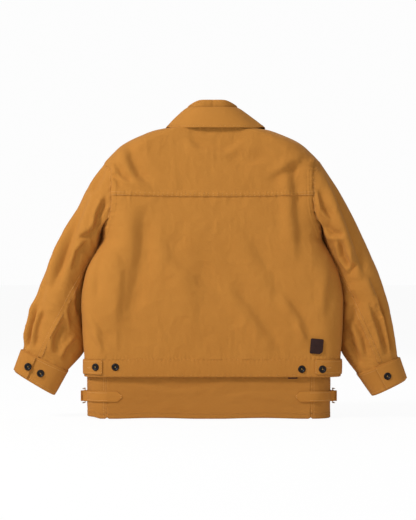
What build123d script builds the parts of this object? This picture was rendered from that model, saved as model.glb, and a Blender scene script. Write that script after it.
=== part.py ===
from build123d import *

import os
from math import copysign, cos, pi, sin

# Canvas turnout coat, built as separate cut pieces, trims and metal hardware.
# Frame: +X to the wearer's right, +Y to the wearer's front, +Z up, in millimetres.
# The coat stands on the hem of its inner layer, with the origin under its middle.
# Left and right are the wearer's.

os.makedirs("parts", exist_ok=True)

# ---------------------------------------------------------------- driving dimensions
CANVAS = 2.4  # thickness of a canvas panel with its facing
TRIM = 2.5  # thickness of a tab, flap, strap or placket
GAP = 0.5  # clearance between two layers of cloth
MID_Y = -3.0  # the plane of the side seams

HALF_HEM = 301.0  # inner layer, half its width and depth
HALF_HEM_DEPTH = 66.0
LOWER_X = -9.0  # the inner layer is drawn about the middle, then hangs this far to the left
SKIRT_TOP = 150.0  # the inner layer runs this far up behind the waistband
SKIRT_SEAM_X = 250.0  # seams between the inner layer's back and its sides
SKIRT_FRONT_SEAM_X = 205.0

BAND_LOW = 103.0  # waistband
BAND_HIGH = 147.0
HALF_BAND = 316.0
HALF_BAND_DEPTH = 76.0
BAND_THICK = 3.5

YOKE_Z = 549.0  # the seam under the back yoke
SHOULDER = (250.0, 642.0)  # top of the armhole, x and z
ARMPIT = (272.0, 440.0)  # bottom of the armhole
NECK_TOP = 716.0
SHOULDER_SEAM_Y = MID_Y + 22.0  # the yoke runs over the shoulder to this plane

STAND_TOP = 784.0  # inner stand collar
STAND_LOW = 694.0
HALF_STAND = 66.0
HALF_STAND_DEPTH = 50.0
STAND_CORNER = 46.0

STRAP_WIDTH = 25.0
STRAP_Z = 54.0
STRAP_TIP_X = 213.0

BUTTON_R = 9.7
BUTTON_HIGH = 4.2
BUTTON_HOLE_R = 1.9
TACK_R = 1.7
BUTTON_CLEAR = 1.8  # between a button and the edge of the cut round it
POCKET_BUTTON_R = 8.0

CLASP_HEIGHTS = (205.0, 320.0, 435.0, 550.0)

CORNER = 52.0  # radius of the body's rounded sides, seen from above

# Outline of the body at each height: z, half width, half depth.
BODY = (
    (BAND_HIGH, HALF_BAND, HALF_BAND_DEPTH),
    (316.0, 317.0, 80.0),
    (385.0, 304.0, 80.0),
    (440.0, 273.0, 80.0),
    (560.0, 286.0, 76.0),
    (615.0, 277.0, 70.0),
    (647.0, 252.0, 66.0),
    (680.0, 210.0, 64.0),
    (700.0, 165.0, 64.0),
    (NECK_TOP, 97.0, 64.0),
)
NECK_GAP = 4.0  # round the stand collar
NECK_CUT = 60.0  # half the height of the cut for the neck

# Each arm, written as a left one and mirrored for the right. The sleeve runs from the armhole to
# the cuff: outer edge x and z, inner edge x and z, half depth. Places across the cuff's back are
# shares from -1 at its outer edge to 1 at its inner edge. The right cuff is turned further round.
ARMS = {
    "left": {
        "sleeve": (
            ((-251.0, 642.0), (-273.0, 440.0), 64.0),
            ((-312.0, 561.0), (-287.0, 424.0), 60.0),
            ((-352.0, 482.0), (-303.0, 396.0), 55.0),
            ((-390.0, 405.0), (-318.5, 352.0), 51.0),
            ((-432.0, 304.0), (-321.0, 250.0), 48.0),
            ((-457.0, 229.0), (-324.0, 172.0), 44.0),
            ((-469.0, 166.0), (-364.0, 115.0), 39.0),
        ),
        "cuff_end": ((-489.0, 113.0), (-393.0, 56.0), 36.0),
        "seam": ((-290.0, 450.0), (-431.0, 150.0)),
        "slit": -0.18,
        "overlap_button": -0.5,
        "spare_buttons": (0.1,),
    },
    "right": {
        "sleeve": (
            ((-251.0, 642.0), (-273.0, 440.0), 64.0),
            ((-308.0, 561.0), (-287.0, 424.0), 60.0),
            ((-347.0, 482.0), (-303.0, 396.0), 55.0),
            ((-383.0, 405.0), (-318.5, 352.0), 51.0),
            ((-423.0, 304.0), (-321.0, 252.0), 48.0),
            ((-441.0, 229.0), (-324.0, 176.0), 45.0),
            ((-458.5, 147.0), (-362.5, 107.0), 44.0),
        ),
        "cuff_end": ((-478.0, 93.0), (-398.0, 54.0), 42.0),
        "seam": ((-290.0, 440.0), (-418.0, 139.0)),
        "slit": 0.2,
        "overlap_button": -0.15,
        "spare_buttons": (),
    },
}
CUFF_GROWTH = 1.0
CUFF_THICK = 3.2
CUFF_OVER = 4.0  # the hollow of a cuff runs this far past its ends
CUFF_START = 0.3  # below the sleeve's end
FLAP_START = 2.0
FLAP_GAP = 0.6  # between the cuff and its overlap
SLEEVE_ROUND = 0.82  # share of the sleeve's half depth taken by its corner radius

# ---------------------------------------------------------------- shared shapes
def oval_loft(sections, grow=0.0, corner=CORNER):
    """A solid through rounded oblongs about the side-seam plane, each larger by grow all round."""
    with BuildPart() as solid:
        for z, half_width, half_depth in sections:
            with BuildSketch(Plane.XY.offset(z)):
                with Locations((0, MID_Y)):
                    RectangleRounded(2 * (half_width + grow), 2 * (half_depth + grow), corner + grow)
        loft(ruled=True)
    return solid.part


def lowered(sections, inset):
    """The sections moved in by inset, and down where the shoulders slope, for the inside of a wall."""
    moved = []
    for z, half_width, half_depth in sections:
        drop = inset if z > YOKE_Z else 0.0
        moved.append((z - drop, half_width - inset, half_depth - inset))
    return moved


def body_layer(outer_inset, inner_inset, low=BAND_HIGH):
    """A shell that follows the body between two insets, open at the waist and the neck."""
    reach = 6.0
    z, half_width, half_depth = BODY[0]
    first = (z - reach, half_width, half_depth)
    top_z, top_width, top_depth = BODY[-1]
    last = (top_z + reach, top_width - reach, top_depth)
    hollow = lowered((first, *BODY, last), inner_inset)
    neck_width = 2 * (HALF_STAND + NECK_GAP)
    neck_depth = 2 * (HALF_STAND_DEPTH + NECK_GAP)
    with BuildPart() as shell:
        add(oval_loft(lowered(BODY, outer_inset), corner=CORNER - outer_inset))
        add(oval_loft(hollow, corner=CORNER - inner_inset), mode=Mode.SUBTRACT)
        with BuildSketch(Plane.XY.offset(NECK_TOP - NECK_CUT)):
            with Locations((0, MID_Y)):
                RectangleRounded(neck_width, neck_depth, STAND_CORNER)
        extrude(amount=2 * NECK_CUT, mode=Mode.SUBTRACT)
        split(bisect_by=Plane.XY.offset(low), keep=Keep.TOP)
    return shell.part


def outside_armholes(gap=0.0):
    """The space past both armhole planes, for cutting the body open there."""
    (top_x, top_z), (low_x, low_z) = SHOULDER, ARMPIT
    lean = (low_x - top_x) / (top_z - low_z)
    with BuildPart() as space:
        with BuildSketch(Plane.XZ.offset(-150)):
            with BuildLine():
                Polyline(
                    (-(low_x - gap), low_z),
                    (-(top_x - gap) + lean * 90, top_z + 90),
                    (-low_x - 90, top_z + 90),
                    (-low_x - 90, low_z + 4),
                    (-low_x - 6, low_z),
                    close=True,
                )
            make_face()
        extrude(amount=300)
        mirror(about=Plane.YZ)
    return space.part


def body_skin(gap, thickness):
    """A layer lying on the outside of the body, for pockets, flaps and plackets."""
    with BuildPart() as skin:
        add(oval_loft(BODY, grow=gap + thickness))
        add(oval_loft(BODY, grow=gap), mode=Mode.SUBTRACT)
    return skin.part


def column(points, low_y, high_y):
    """A prism along Y over an outline in X and Z."""
    with BuildPart() as prism:
        with BuildSketch(Plane.XZ.offset(-low_y)):
            with BuildLine():
                Polyline(*points, close=True)
            make_face()
        extrude(amount=-(high_y - low_y))
    return prism.part


def band(half_width, half_depth, low, high, thickness, corner=CORNER):
    """A level ring of cloth."""
    with BuildPart() as ring:
        with BuildSketch(Plane.XY.offset(low)):
            with Locations((0, MID_Y)):
                RectangleRounded(2 * half_width, 2 * half_depth, corner)
                RectangleRounded(
                    2 * (half_width - thickness),
                    2 * (half_depth - thickness),
                    corner - thickness,
                    mode=Mode.SUBTRACT,
                )
        extrude(amount=high - low)
    return ring.part


def edge_at(half_width, half_depth, corner, x):
    """Depth and outward direction of a rounded oblong's long side at x."""
    past = max(0.0, abs(x) - (half_width - corner)) / corner
    lean = (1 - past * past) ** 0.5
    return half_depth - corner * (1 - lean), copysign(past, x), lean


def oval_plane(half_width, half_depth, x, z, side, gap=0.0, corner=CORNER):
    """A plane on a rounded oblong at x, facing out; side is -1 for the back and 1 for the front."""
    depth, out_x, out_y = edge_at(half_width, half_depth, corner, x)
    outward = Vector(out_x, side * out_y, 0)
    origin = Vector(x, MID_Y + side * depth, z) + outward * gap
    return Plane(origin=origin, x_dir=Vector(-outward.Y, outward.X, 0), z_dir=outward)


def export(piece, name):
    """Labels a finished piece and writes it."""
    piece.part.label = name
    export_step(piece.part, f"parts/{name}.step")


def mirrored(piece):
    """The right-hand twin of a left-hand piece."""
    with BuildPart() as twin:
        add(mirror(piece.part, about=Plane.YZ, mode=Mode.PRIVATE))
    return twin


def shifted(piece):
    """A piece of the inner layer, moved to where that layer hangs."""
    with BuildPart() as moved:
        add(piece.part.moved(Location((LOWER_X, 0, 0))))
    return moved


# ---------------------------------------------------------------- outer body
body_shell = body_layer(0.0, CANVAS)
armholes = outside_armholes()

with BuildPart() as body_cut:
    add(body_shell)
    add(armholes, mode=Mode.SUBTRACT)

with BuildPart() as lower_body:
    add(body_cut.part)
    split(bisect_by=Plane.XY.offset(YOKE_Z), keep=Keep.BOTTOM)

with BuildPart() as upper_body:
    add(body_cut.part)
    split(bisect_by=Plane.XY.offset(YOKE_Z), keep=Keep.TOP)

with BuildPart() as back_panel:
    add(lower_body.part)
    split(bisect_by=Plane.XZ.offset(-MID_Y), keep=Keep.TOP)

with BuildPart() as back_yoke:
    add(upper_body.part)
    split(bisect_by=Plane.XZ.offset(-SHOULDER_SEAM_Y), keep=Keep.TOP)

with BuildPart() as fronts:
    add(lower_body.part)
    split(bisect_by=Plane.XZ.offset(-MID_Y), keep=Keep.BOTTOM)

with BuildPart() as chest:
    add(upper_body.part)
    split(bisect_by=Plane.XZ.offset(-SHOULDER_SEAM_Y), keep=Keep.BOTTOM)

with BuildPart() as left_front_panel:
    add(fronts.part)
    add(chest.part)
    split(bisect_by=Plane.YZ, keep=Keep.BOTTOM)

with BuildPart() as right_front_panel:
    add(fronts.part)
    add(chest.part)
    split(bisect_by=Plane.YZ.offset(GAP), keep=Keep.TOP)

# ---------------------------------------------------------------- lining
LINING_OUT = CANVAS + 1.0
LINING_IN = LINING_OUT + 1.5
with BuildPart() as body_lining:
    add(body_layer(LINING_OUT, LINING_IN, low=168.0))
    add(outside_armholes(gap=3.0), mode=Mode.SUBTRACT)

# ---------------------------------------------------------------- waistband and inner layer
with BuildPart() as waistband:
    add(band(HALF_BAND, HALF_BAND_DEPTH, BAND_LOW, BAND_HIGH - 0.2, BAND_THICK))
    add(column([(-0.4, 90), (0.4, 90), (0.4, 160), (-0.4, 160)], 0, 120), mode=Mode.SUBTRACT)

skirt_ring = band(HALF_HEM, HALF_HEM_DEPTH, 0.0, SKIRT_TOP, CANVAS)
BEHIND, AHEAD = -120.0, 120.0

with BuildPart() as inner_back:
    add(skirt_ring)
    split(bisect_by=Plane.YZ.offset(-SKIRT_SEAM_X), keep=Keep.TOP)
    split(bisect_by=Plane.YZ.offset(SKIRT_SEAM_X), keep=Keep.BOTTOM)
    split(bisect_by=Plane.XZ.offset(-MID_Y), keep=Keep.TOP)

with BuildPart() as inner_left_side:
    add(skirt_ring)
    add(
        column(
            [(-SKIRT_SEAM_X, -9), (0, -9), (0, SKIRT_TOP + 9), (-SKIRT_SEAM_X, SKIRT_TOP + 9)], BEHIND, MID_Y
        ),
        mode=Mode.SUBTRACT,
    )
    add(
        column(
            [
                (-SKIRT_FRONT_SEAM_X, -9),
                (0, -9),
                (0, SKIRT_TOP + 9),
                (-SKIRT_FRONT_SEAM_X, SKIRT_TOP + 9),
            ],
            MID_Y,
            AHEAD,
        ),
        mode=Mode.SUBTRACT,
    )
    split(bisect_by=Plane.YZ, keep=Keep.BOTTOM)

with BuildPart() as inner_left_front:
    add(skirt_ring)
    split(bisect_by=Plane.XZ.offset(-MID_Y), keep=Keep.BOTTOM)
    split(bisect_by=Plane.YZ.offset(-SKIRT_FRONT_SEAM_X), keep=Keep.TOP)
    split(bisect_by=Plane.YZ.offset(-GAP), keep=Keep.BOTTOM)

# ---------------------------------------------------------------- collars
STAND_LEAN = 16.0  # the stand collar's top edge drops this many degrees towards the front
stand_foot = (STAND_LOW, HALF_STAND, HALF_STAND_DEPTH)
stand_rim = (HALF_STAND - 4, HALF_STAND_DEPTH - 3)
with BuildPart() as stand_collar:
    add(oval_loft((stand_foot, (STAND_TOP + 2, *stand_rim)), corner=STAND_CORNER))
    inside_foot = (STAND_LOW - 1, HALF_STAND, HALF_STAND_DEPTH)
    inside = (inside_foot, (STAND_TOP + 3, *stand_rim))
    add(oval_loft(inside, grow=-CANVAS, corner=STAND_CORNER), mode=Mode.SUBTRACT)
    split(
        bisect_by=Plane(
            origin=(0, MID_Y - HALF_STAND_DEPTH, STAND_TOP),
            x_dir=(1, 0, 0),
            z_dir=(0, sin(STAND_LEAN * pi / 180), cos(STAND_LEAN * pi / 180)),
        ),
        keep=Keep.BOTTOM,
    )

# The outer collar turns over the stand and fans out across the shoulders.
COLLAR = (
    (766.0, HALF_STAND + 7.0, HALF_STAND_DEPTH + 8.0),
    (748.0, 87.0, 68.0),
    (730.0, 106.0, 79.0),
    (719.0, 118.0, 83.0),
    (690.0, 133.0, 85.0),
    (640.0, 146.0, 87.0),
)
COLLAR_THICK = 2.2
COLLAR_EDGE_Z = 719.0  # the level edge behind and beside the neck
COLLAR_POINT = (84.0, 648.0)  # x and z of each point in front
COLLAR_TURN_Y = 34.0  # in front of this plane the edge leaves the level for the points
FAR = 200.0  # past everything that is cut
LOW = 600.0
point_x, point_z = COLLAR_POINT
below = [(-FAR, LOW), (FAR, LOW), (FAR, COLLAR_EDGE_Z), (-FAR, COLLAR_EDGE_Z)]
beside_left = [
    (-FAR, COLLAR_EDGE_Z),
    (-112, COLLAR_EDGE_Z),
    (-point_x, point_z),
    (-point_x, LOW),
    (-FAR, LOW),
]
beside_right = [(-x, z) for x, z in beside_left]
between_points = [
    (-point_x, point_z),
    (-22, 700),
    (-6, 790),
    (6, 790),
    (22, 700),
    (point_x, point_z),
    (point_x, LOW),
    (-point_x, LOW),
]
collar_cuts = [
    (below, -FAR, COLLAR_TURN_Y),
    (beside_left, COLLAR_TURN_Y, FAR),
    (beside_right, COLLAR_TURN_Y, FAR),
    (between_points, COLLAR_TURN_Y, FAR),
]


def collar_layer(outer_inset, inner_inset):
    """The fanned collar between two insets, before its edge is cut."""
    with BuildPart() as fan:
        add(oval_loft(COLLAR[::-1], grow=-outer_inset))
        extended = (
            (COLLAR[0][0] + 3, COLLAR[0][1] - 3, COLLAR[0][2] - 2),
            *COLLAR,
            (COLLAR[-1][0] - 3, *COLLAR[-1][1:]),
        )
        add(oval_loft(extended[::-1], grow=-inner_inset), mode=Mode.SUBTRACT)
        # Behind and beside the neck the edge is level; in front it runs down to two points.
        for outline, low_y, high_y in collar_cuts:
            add(column(outline, low_y, high_y), mode=Mode.SUBTRACT)
    return fan.part


with BuildPart() as outer_collar:
    add(collar_layer(0.0, COLLAR_THICK))

with BuildPart() as under_collar:
    add(collar_layer(COLLAR_THICK + 0.2, COLLAR_THICK + 1.6))

LOOP_Z = 728.0
LOOP_SPAN = 28.0
LOOP_BACK = MID_Y - HALF_STAND_DEPTH + 4.8  # clear of the stand collar at the loop's ends
LOOP_REACH = 13.0
with BuildPart() as hanger_loop:
    with BuildSketch(Plane.XY.offset(LOOP_Z - 4)):
        with BuildLine():
            ThreePointArc(
                (-LOOP_SPAN, LOOP_BACK + 6), (0, LOOP_BACK + LOOP_REACH), (LOOP_SPAN, LOOP_BACK + 6)
            )
            offset(amount=1.0)
        make_face()
    extrude(amount=8)


# ---------------------------------------------------------------- sleeves and cuffs
def sleeve_plane(outer, inner):
    """The plane across the sleeve between its outer and inner edge, facing the hand."""
    (outer_x, outer_z), (inner_x, inner_z) = outer, inner
    across = Vector(inner_x - outer_x, 0, inner_z - outer_z)
    centre = ((outer_x + inner_x) / 2, MID_Y, (outer_z + inner_z) / 2)
    along = Vector(across.Z, 0, -across.X)
    return Plane(origin=centre, x_dir=across.normalized(), z_dir=along.normalized()), across.length / 2


def sleeve_loft(sections, grow=0.0, reach=0.0):
    """A solid through rounded oblongs across the sleeve. reach carries it on past both ends."""
    with BuildPart() as solid:
        for i, (outer, inner, half_depth) in enumerate(sections):
            plane, half_width = sleeve_plane(outer, inner)
            shift = -reach if i == 0 else reach if i == len(sections) - 1 else 0.0
            corner = SLEEVE_ROUND * min(half_depth, half_width)
            with BuildSketch(plane.offset(shift)):
                RectangleRounded(2 * (half_width + grow), 2 * (half_depth + grow), corner + grow)
        loft(ruled=True)
    return solid.part


def sleeve_halves(arm):
    """The top and the under sleeve, parted along the seam down the back of the arm."""
    with BuildPart() as tube:
        add(sleeve_loft(arm["sleeve"]))
        add(sleeve_loft(arm["sleeve"], grow=-CANVAS, reach=2.0), mode=Mode.SUBTRACT)
    (x0, z0), (x1, z1) = arm["seam"]
    seam_plane = Plane(origin=(x0, 0, z0), x_dir=(0, 1, 0), z_dir=(z1 - z0, 0, x0 - x1))
    with BuildPart() as top:
        add(tube.part)
        split(bisect_by=seam_plane, keep=Keep.TOP)
    with BuildPart() as under:
        add(tube.part)
        split(bisect_by=seam_plane, keep=Keep.BOTTOM)
    return top, under


def cuff_back_plane(arm, share, gap):
    """A plane half way down the cuff's back, facing out."""
    top_plane, top_half = sleeve_plane(*arm["sleeve"][-1][:2])
    end_plane, end_half = sleeve_plane(*arm["cuff_end"][:2])
    half_width = (top_half + end_half) / 2 + CUFF_GROWTH
    half_depth = (arm["sleeve"][-1][2] + arm["cuff_end"][2]) / 2 + CUFF_GROWTH
    corner = SLEEVE_ROUND * min(half_depth, half_width)
    depth, out_across, out_back = edge_at(half_width, half_depth, corner, share * half_width)
    across = (top_plane.x_dir + end_plane.x_dir).normalized()
    centre = (top_plane.origin + end_plane.origin) / 2
    behind = Vector(0, -1, 0)
    outward = across * out_across + behind * out_back
    origin = centre + across * (share * half_width) + behind * depth
    return Plane(origin=origin + outward * gap, x_dir=across, z_dir=outward)


def cuff_ring(arm):
    """The cuff, a stiff doubled band round the wrist."""
    sections = (arm["sleeve"][-1], arm["cuff_end"])
    start_plane, _ = sleeve_plane(*sections[0][:2])
    with BuildPart() as ring:
        add(sleeve_loft(sections, grow=CUFF_GROWTH))
        add(sleeve_loft(sections, grow=CUFF_GROWTH - CUFF_THICK, reach=CUFF_OVER), mode=Mode.SUBTRACT)
        split(bisect_by=start_plane.offset(CUFF_START), keep=Keep.TOP)
    return ring


def cuff_overlap(arm):
    """The cuff's buttoned overlap, on its back from the outer edge to the slit."""
    sections = (arm["sleeve"][-1], arm["cuff_end"])
    start_plane, start_half = sleeve_plane(*sections[0][:2])
    end_plane, _ = sleeve_plane(*sections[1][:2])
    down = (end_plane.origin - start_plane.origin).normalized()
    cuff_frame = Plane(origin=start_plane.origin, x_dir=start_plane.x_dir, z_dir=down)
    slit = start_plane.origin + start_plane.x_dir * (arm["slit"] * start_half)
    inner_grow = CUFF_GROWTH + FLAP_GAP
    with BuildPart() as overlap:
        add(sleeve_loft(sections, grow=inner_grow + TRIM))
        add(sleeve_loft(sections, grow=inner_grow, reach=CUFF_OVER), mode=Mode.SUBTRACT)
        split(bisect_by=start_plane.offset(FLAP_START), keep=Keep.TOP)
        split(bisect_by=Plane.XZ.offset(3 - MID_Y), keep=Keep.TOP)
        split(bisect_by=Plane(origin=slit, x_dir=(0, 1, 0), z_dir=cuff_frame.x_dir), keep=Keep.BOTTOM)
        with BuildSketch(cuff_back_plane(arm, arm["overlap_button"], 0.0)):
            Circle(BUTTON_R + BUTTON_CLEAR)
        extrude(amount=12, both=True, mode=Mode.SUBTRACT)
    return overlap


# ---------------------------------------------------------------- buttons
def button_ring(radius, height):
    """A domed ring button with a dished middle, standing on XY."""
    flat = radius - 1.2
    rim = 2.6
    dished = [
        (flat, rim),
        (radius * 0.72, height),
        (radius * 0.45, height * 0.62),
        (BUTTON_HOLE_R, height * 0.5),
    ]
    with BuildPart() as ring:
        with BuildSketch(Plane.XZ):
            with BuildLine():
                Line((BUTTON_HOLE_R, 0), (flat, 0))
                RadiusArc((flat, 0), (flat, rim), -1.4)
                Spline(*dished)
                Line(dished[-1], (BUTTON_HOLE_R, 0))
            make_face()
        revolve(axis=Axis.Z)
    return ring.part


def tack(height):
    """The brass tack through the middle of a button, standing on XY."""
    with BuildPart() as pin:
        Cylinder(TACK_R, height, align=(Align.CENTER, Align.CENTER, Align.MIN))
        fillet(pin.edges().sort_by(Axis.Z)[-1], 0.8)
    return pin.part


button = button_ring(BUTTON_R, BUTTON_HIGH)
button_tack = tack(BUTTON_HIGH * 0.62 + 0.6)
pocket_button = button_ring(POCKET_BUTTON_R, BUTTON_HIGH)

TAB_LIFT = GAP + TRIM + 0.5  # a button over a tab or flap stands off by the cloth under it


def place(shape, planes):
    """Copies of a shape on several planes."""
    return [plane.location * shape for plane in planes]


def band_plane(x, z, side, gap):
    """A plane on the outside of the waistband."""
    return oval_plane(HALF_BAND, HALF_BAND_DEPTH, x, z, side, gap)


# Each side's waist tab: where it ends, its button, and the spare button that tightens it.
WAIST = {
    "left": {"side": -1, "end_x": 270.0, "button_x": 285.0, "spare_x": 238.0, "z": 127.0},
    "right": {"side": 1, "end_x": 252.0, "button_x": 269.0, "spare_x": 219.0, "z": 122.0},
}
WAIST_BUTTON_Z = 126.0
BUTTON_GAP = 0.3
tab_button_planes = [band_plane(w["side"] * w["button_x"], w["z"], -1, TAB_LIFT) for w in WAIST.values()]
spare_button_planes = [band_plane(w["side"] * w["spare_x"], w["z"], -1, BUTTON_GAP) for w in WAIST.values()]

with BuildPart() as waist_buttons:
    add(place(button, tab_button_planes + spare_button_planes))

with BuildPart() as waist_button_tacks:
    add(place(button_tack, tab_button_planes + spare_button_planes))

# ---------------------------------------------------------------- both arms
arm_pieces = {}
for side, arm in ARMS.items():
    top_sleeve, under_sleeve = sleeve_halves(arm)
    cuff_planes = [cuff_back_plane(arm, arm["overlap_button"], FLAP_GAP + TRIM + 0.5)]
    cuff_planes += [cuff_back_plane(arm, share, 0.8) for share in arm["spare_buttons"]]
    with BuildPart() as cuff_buttons:
        add(place(button, cuff_planes))
    with BuildPart() as cuff_tacks:
        add(place(button_tack, cuff_planes))
    arm_pieces[side] = {
        "top_sleeve": top_sleeve,
        "under_sleeve": under_sleeve,
        "cuff": cuff_ring(arm),
        "cuff_flap": cuff_overlap(arm),
        "cuff_buttons": cuff_buttons,
        "cuff_tacks": cuff_tacks,
    }

# ---------------------------------------------------------------- waist tabs
TAB_LOW = 108.0
TAB_HIGH = 145.0
TAB_ROOT_Y = MID_Y - 12.0


def waist_tab(side, end_x, button_plane):
    """The doubled tab round one side of the waistband, cut out round its button."""
    lift = GAP + TRIM
    with BuildPart() as tab:
        add(band(HALF_BAND + lift, HALF_BAND_DEPTH + lift, TAB_LOW, TAB_HIGH, TRIM, CORNER + lift))
        split(bisect_by=Plane.YZ.offset(side * end_x), keep=Keep.TOP if side > 0 else Keep.BOTTOM)
        split(bisect_by=Plane.XZ.offset(-TAB_ROOT_Y), keep=Keep.TOP)
        with BuildSketch(button_plane.offset(-TAB_LIFT)):
            Circle(BUTTON_R + BUTTON_CLEAR)
        extrude(amount=12, both=True, mode=Mode.SUBTRACT)
    return tab


waist_tabs = {
    name: waist_tab(w["side"], w["end_x"], plane)
    for (name, w), plane in zip(WAIST.items(), tab_button_planes)
}

# ---------------------------------------------------------------- side strap and buckle
BUCKLE_HIGH = 35.0
BUCKLE_WIRE = 1.5  # radius of the frame's wire
FRONT_BAR_Y = MID_Y - 4.0
REAR_BAR_Y = MID_Y - 25.0
BUCKLE_X = -(HALF_HEM + 6.2)
BUCKLE_REAR_X = -(HALF_HEM + 11.0)


def upright_bar(x, y, low, high, radius):
    """A round bar standing along Z."""
    with BuildPart() as bar:
        with BuildSketch(Plane.XY.offset(low)):
            with Locations((x, y)):
                Circle(radius)
        extrude(amount=high - low)
    return bar.part


def round_bar(start, end, radius):
    """A round bar between two points."""
    with BuildPart() as bar:
        run = Vector(*end) - Vector(*start)
        with BuildSketch(Plane(origin=start, z_dir=run.normalized())):
            Circle(radius)
        extrude(amount=run.length)
    return bar.part


BUCKLE_LOW = STRAP_Z - BUCKLE_HIGH / 2
BUCKLE_TOP = STRAP_Z + BUCKLE_HIGH / 2
with BuildPart() as left_buckle:
    for x, y in ((BUCKLE_X, FRONT_BAR_Y), (BUCKLE_REAR_X, REAR_BAR_Y)):
        add(upright_bar(x, y, BUCKLE_LOW, BUCKLE_TOP, BUCKLE_WIRE))
        for z in (BUCKLE_LOW, BUCKLE_TOP):
            with Locations((x, y, z)):
                Sphere(BUCKLE_WIRE)
    for z in (BUCKLE_LOW, BUCKLE_TOP):
        add(round_bar((BUCKLE_X, FRONT_BAR_Y, z), (BUCKLE_REAR_X, REAR_BAR_Y, z), BUCKLE_WIRE))

STRAP_LOW = STRAP_Z - STRAP_WIDTH / 2
STRAP_TOP = STRAP_Z + STRAP_WIDTH / 2
LOOP_CLEAR = 0.3  # round a buckle bar
strap_ring = band(
    HALF_HEM + GAP + TRIM, HALF_HEM_DEPTH + GAP + TRIM, STRAP_LOW, STRAP_TOP, TRIM, CORNER + GAP + TRIM
)

# The sewn part of the strap comes round from the front and ends in a sleeve on the front bar.
BASE_END_X = 215.0
with BuildPart() as left_strap_base:
    add(strap_ring)
    split(bisect_by=Plane.YZ.offset(-BASE_END_X), keep=Keep.BOTTOM)
    split(bisect_by=Plane.XZ.offset(-(FRONT_BAR_Y + 1.0)), keep=Keep.BOTTOM)
    add(upright_bar(BUCKLE_X, FRONT_BAR_Y, STRAP_LOW, STRAP_TOP, BUCKLE_WIRE + LOOP_CLEAR + 1.3))
    with BuildSketch(Plane.XY.offset(STRAP_LOW)):
        with BuildLine():
            Polyline(
                (BUCKLE_X + 2.6, FRONT_BAR_Y),
                (BUCKLE_X + 5.6, FRONT_BAR_Y + 1.0),
                (BUCKLE_X + 5.6, FRONT_BAR_Y + 9.0),
                (BUCKLE_X + 3.3, FRONT_BAR_Y + 9.0),
                (BUCKLE_X + 0.6, FRONT_BAR_Y + 2.6),
                close=True,
            )
        make_face()
    extrude(amount=STRAP_WIDTH)
    add(
        upright_bar(BUCKLE_X, FRONT_BAR_Y, STRAP_LOW - 1, STRAP_TOP + 1, BUCKLE_WIRE + LOOP_CLEAR),
        mode=Mode.SUBTRACT,
    )

# The free end loops over the rear bar and lies along the back, cut to a point.
with BuildPart() as left_strap_tail:
    add(strap_ring)
    split(bisect_by=Plane.XZ.offset(-(REAR_BAR_Y - 3.0)), keep=Keep.TOP)
    split(bisect_by=Plane.YZ.offset(-STRAP_TIP_X), keep=Keep.BOTTOM)
    add(
        column(
            [
                (-STRAP_TIP_X - 9, STRAP_TOP + 5),
                (-STRAP_TIP_X - 9, STRAP_TOP),
                (-STRAP_TIP_X, STRAP_Z + 2),
                (-STRAP_TIP_X, STRAP_Z - 2),
                (-STRAP_TIP_X - 9, STRAP_LOW),
                (-STRAP_TIP_X - 9, STRAP_LOW - 5),
                (-STRAP_TIP_X + 9, STRAP_LOW - 5),
                (-STRAP_TIP_X + 9, STRAP_TOP + 5),
            ],
            BEHIND,
            MID_Y,
        ),
        mode=Mode.SUBTRACT,
    )
    add(upright_bar(BUCKLE_REAR_X, REAR_BAR_Y, STRAP_LOW, STRAP_TOP, BUCKLE_WIRE + LOOP_CLEAR + 1.4))
    with BuildSketch(Plane.XY.offset(STRAP_LOW)):
        with BuildLine():
            Polyline(
                (BUCKLE_REAR_X - 1.0, REAR_BAR_Y - 0.5),
                (BUCKLE_REAR_X + 6.0, REAR_BAR_Y - 5.0),
                (BUCKLE_REAR_X + 12.6, REAR_BAR_Y - 6.5),
                (BUCKLE_REAR_X + 12.6, REAR_BAR_Y - 10.0),
                (BUCKLE_REAR_X + 5.0, REAR_BAR_Y - 8.5),
                (BUCKLE_REAR_X - 3.0, REAR_BAR_Y - 1.0),
                close=True,
            )
        make_face()
    extrude(amount=STRAP_WIDTH)
    add(
        upright_bar(BUCKLE_REAR_X, REAR_BAR_Y, STRAP_LOW - 1, STRAP_TOP + 1, BUCKLE_WIRE + LOOP_CLEAR),
        mode=Mode.SUBTRACT,
    )

# ---------------------------------------------------------------- labels
def body_plane(x, z, side, gap):
    """A plane on the outside of the body near the waist."""
    return oval_plane(HALF_BAND, 77.0, x, z, side, gap)


with BuildPart() as leather_patch:
    with BuildSketch(body_plane(256.0, 178.0, -1, 1.2)) as patch_sketch:
        with BuildLine():
            # Seen from behind; the corner nearest the hem and the side is cut off.
            Polyline((-16, -18.5), (-16, 18.5), (16, 18.5), (16, -11.5), (10, -18.5), close=True)
        make_face()
    extrude(amount=1.5)

LABEL_X = 197.0
LABEL_Z = 110.0
with BuildPart() as inner_label:
    with BuildSketch(oval_plane(HALF_HEM, HALF_HEM_DEPTH, LABEL_X - LOWER_X, LABEL_Z, -1, 0.6)):
        Rectangle(23, 30)
    extrude(amount=1.2)

# ---------------------------------------------------------------- front placket and pockets
PLACKET_LEFT = -42.0
PLACKET_RIGHT = 24.0
PLACKET_TOP = 684.0
with BuildPart() as storm_placket:
    add(body_skin(GAP, TRIM))
    add(
        column(
            [
                (PLACKET_LEFT, BAND_HIGH + 4),
                (PLACKET_RIGHT, BAND_HIGH + 4),
                (PLACKET_RIGHT, PLACKET_TOP),
                (PLACKET_LEFT, PLACKET_TOP),
            ],
            20,
            150,
        ),
        mode=Mode.INTERSECT,
    )

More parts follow.
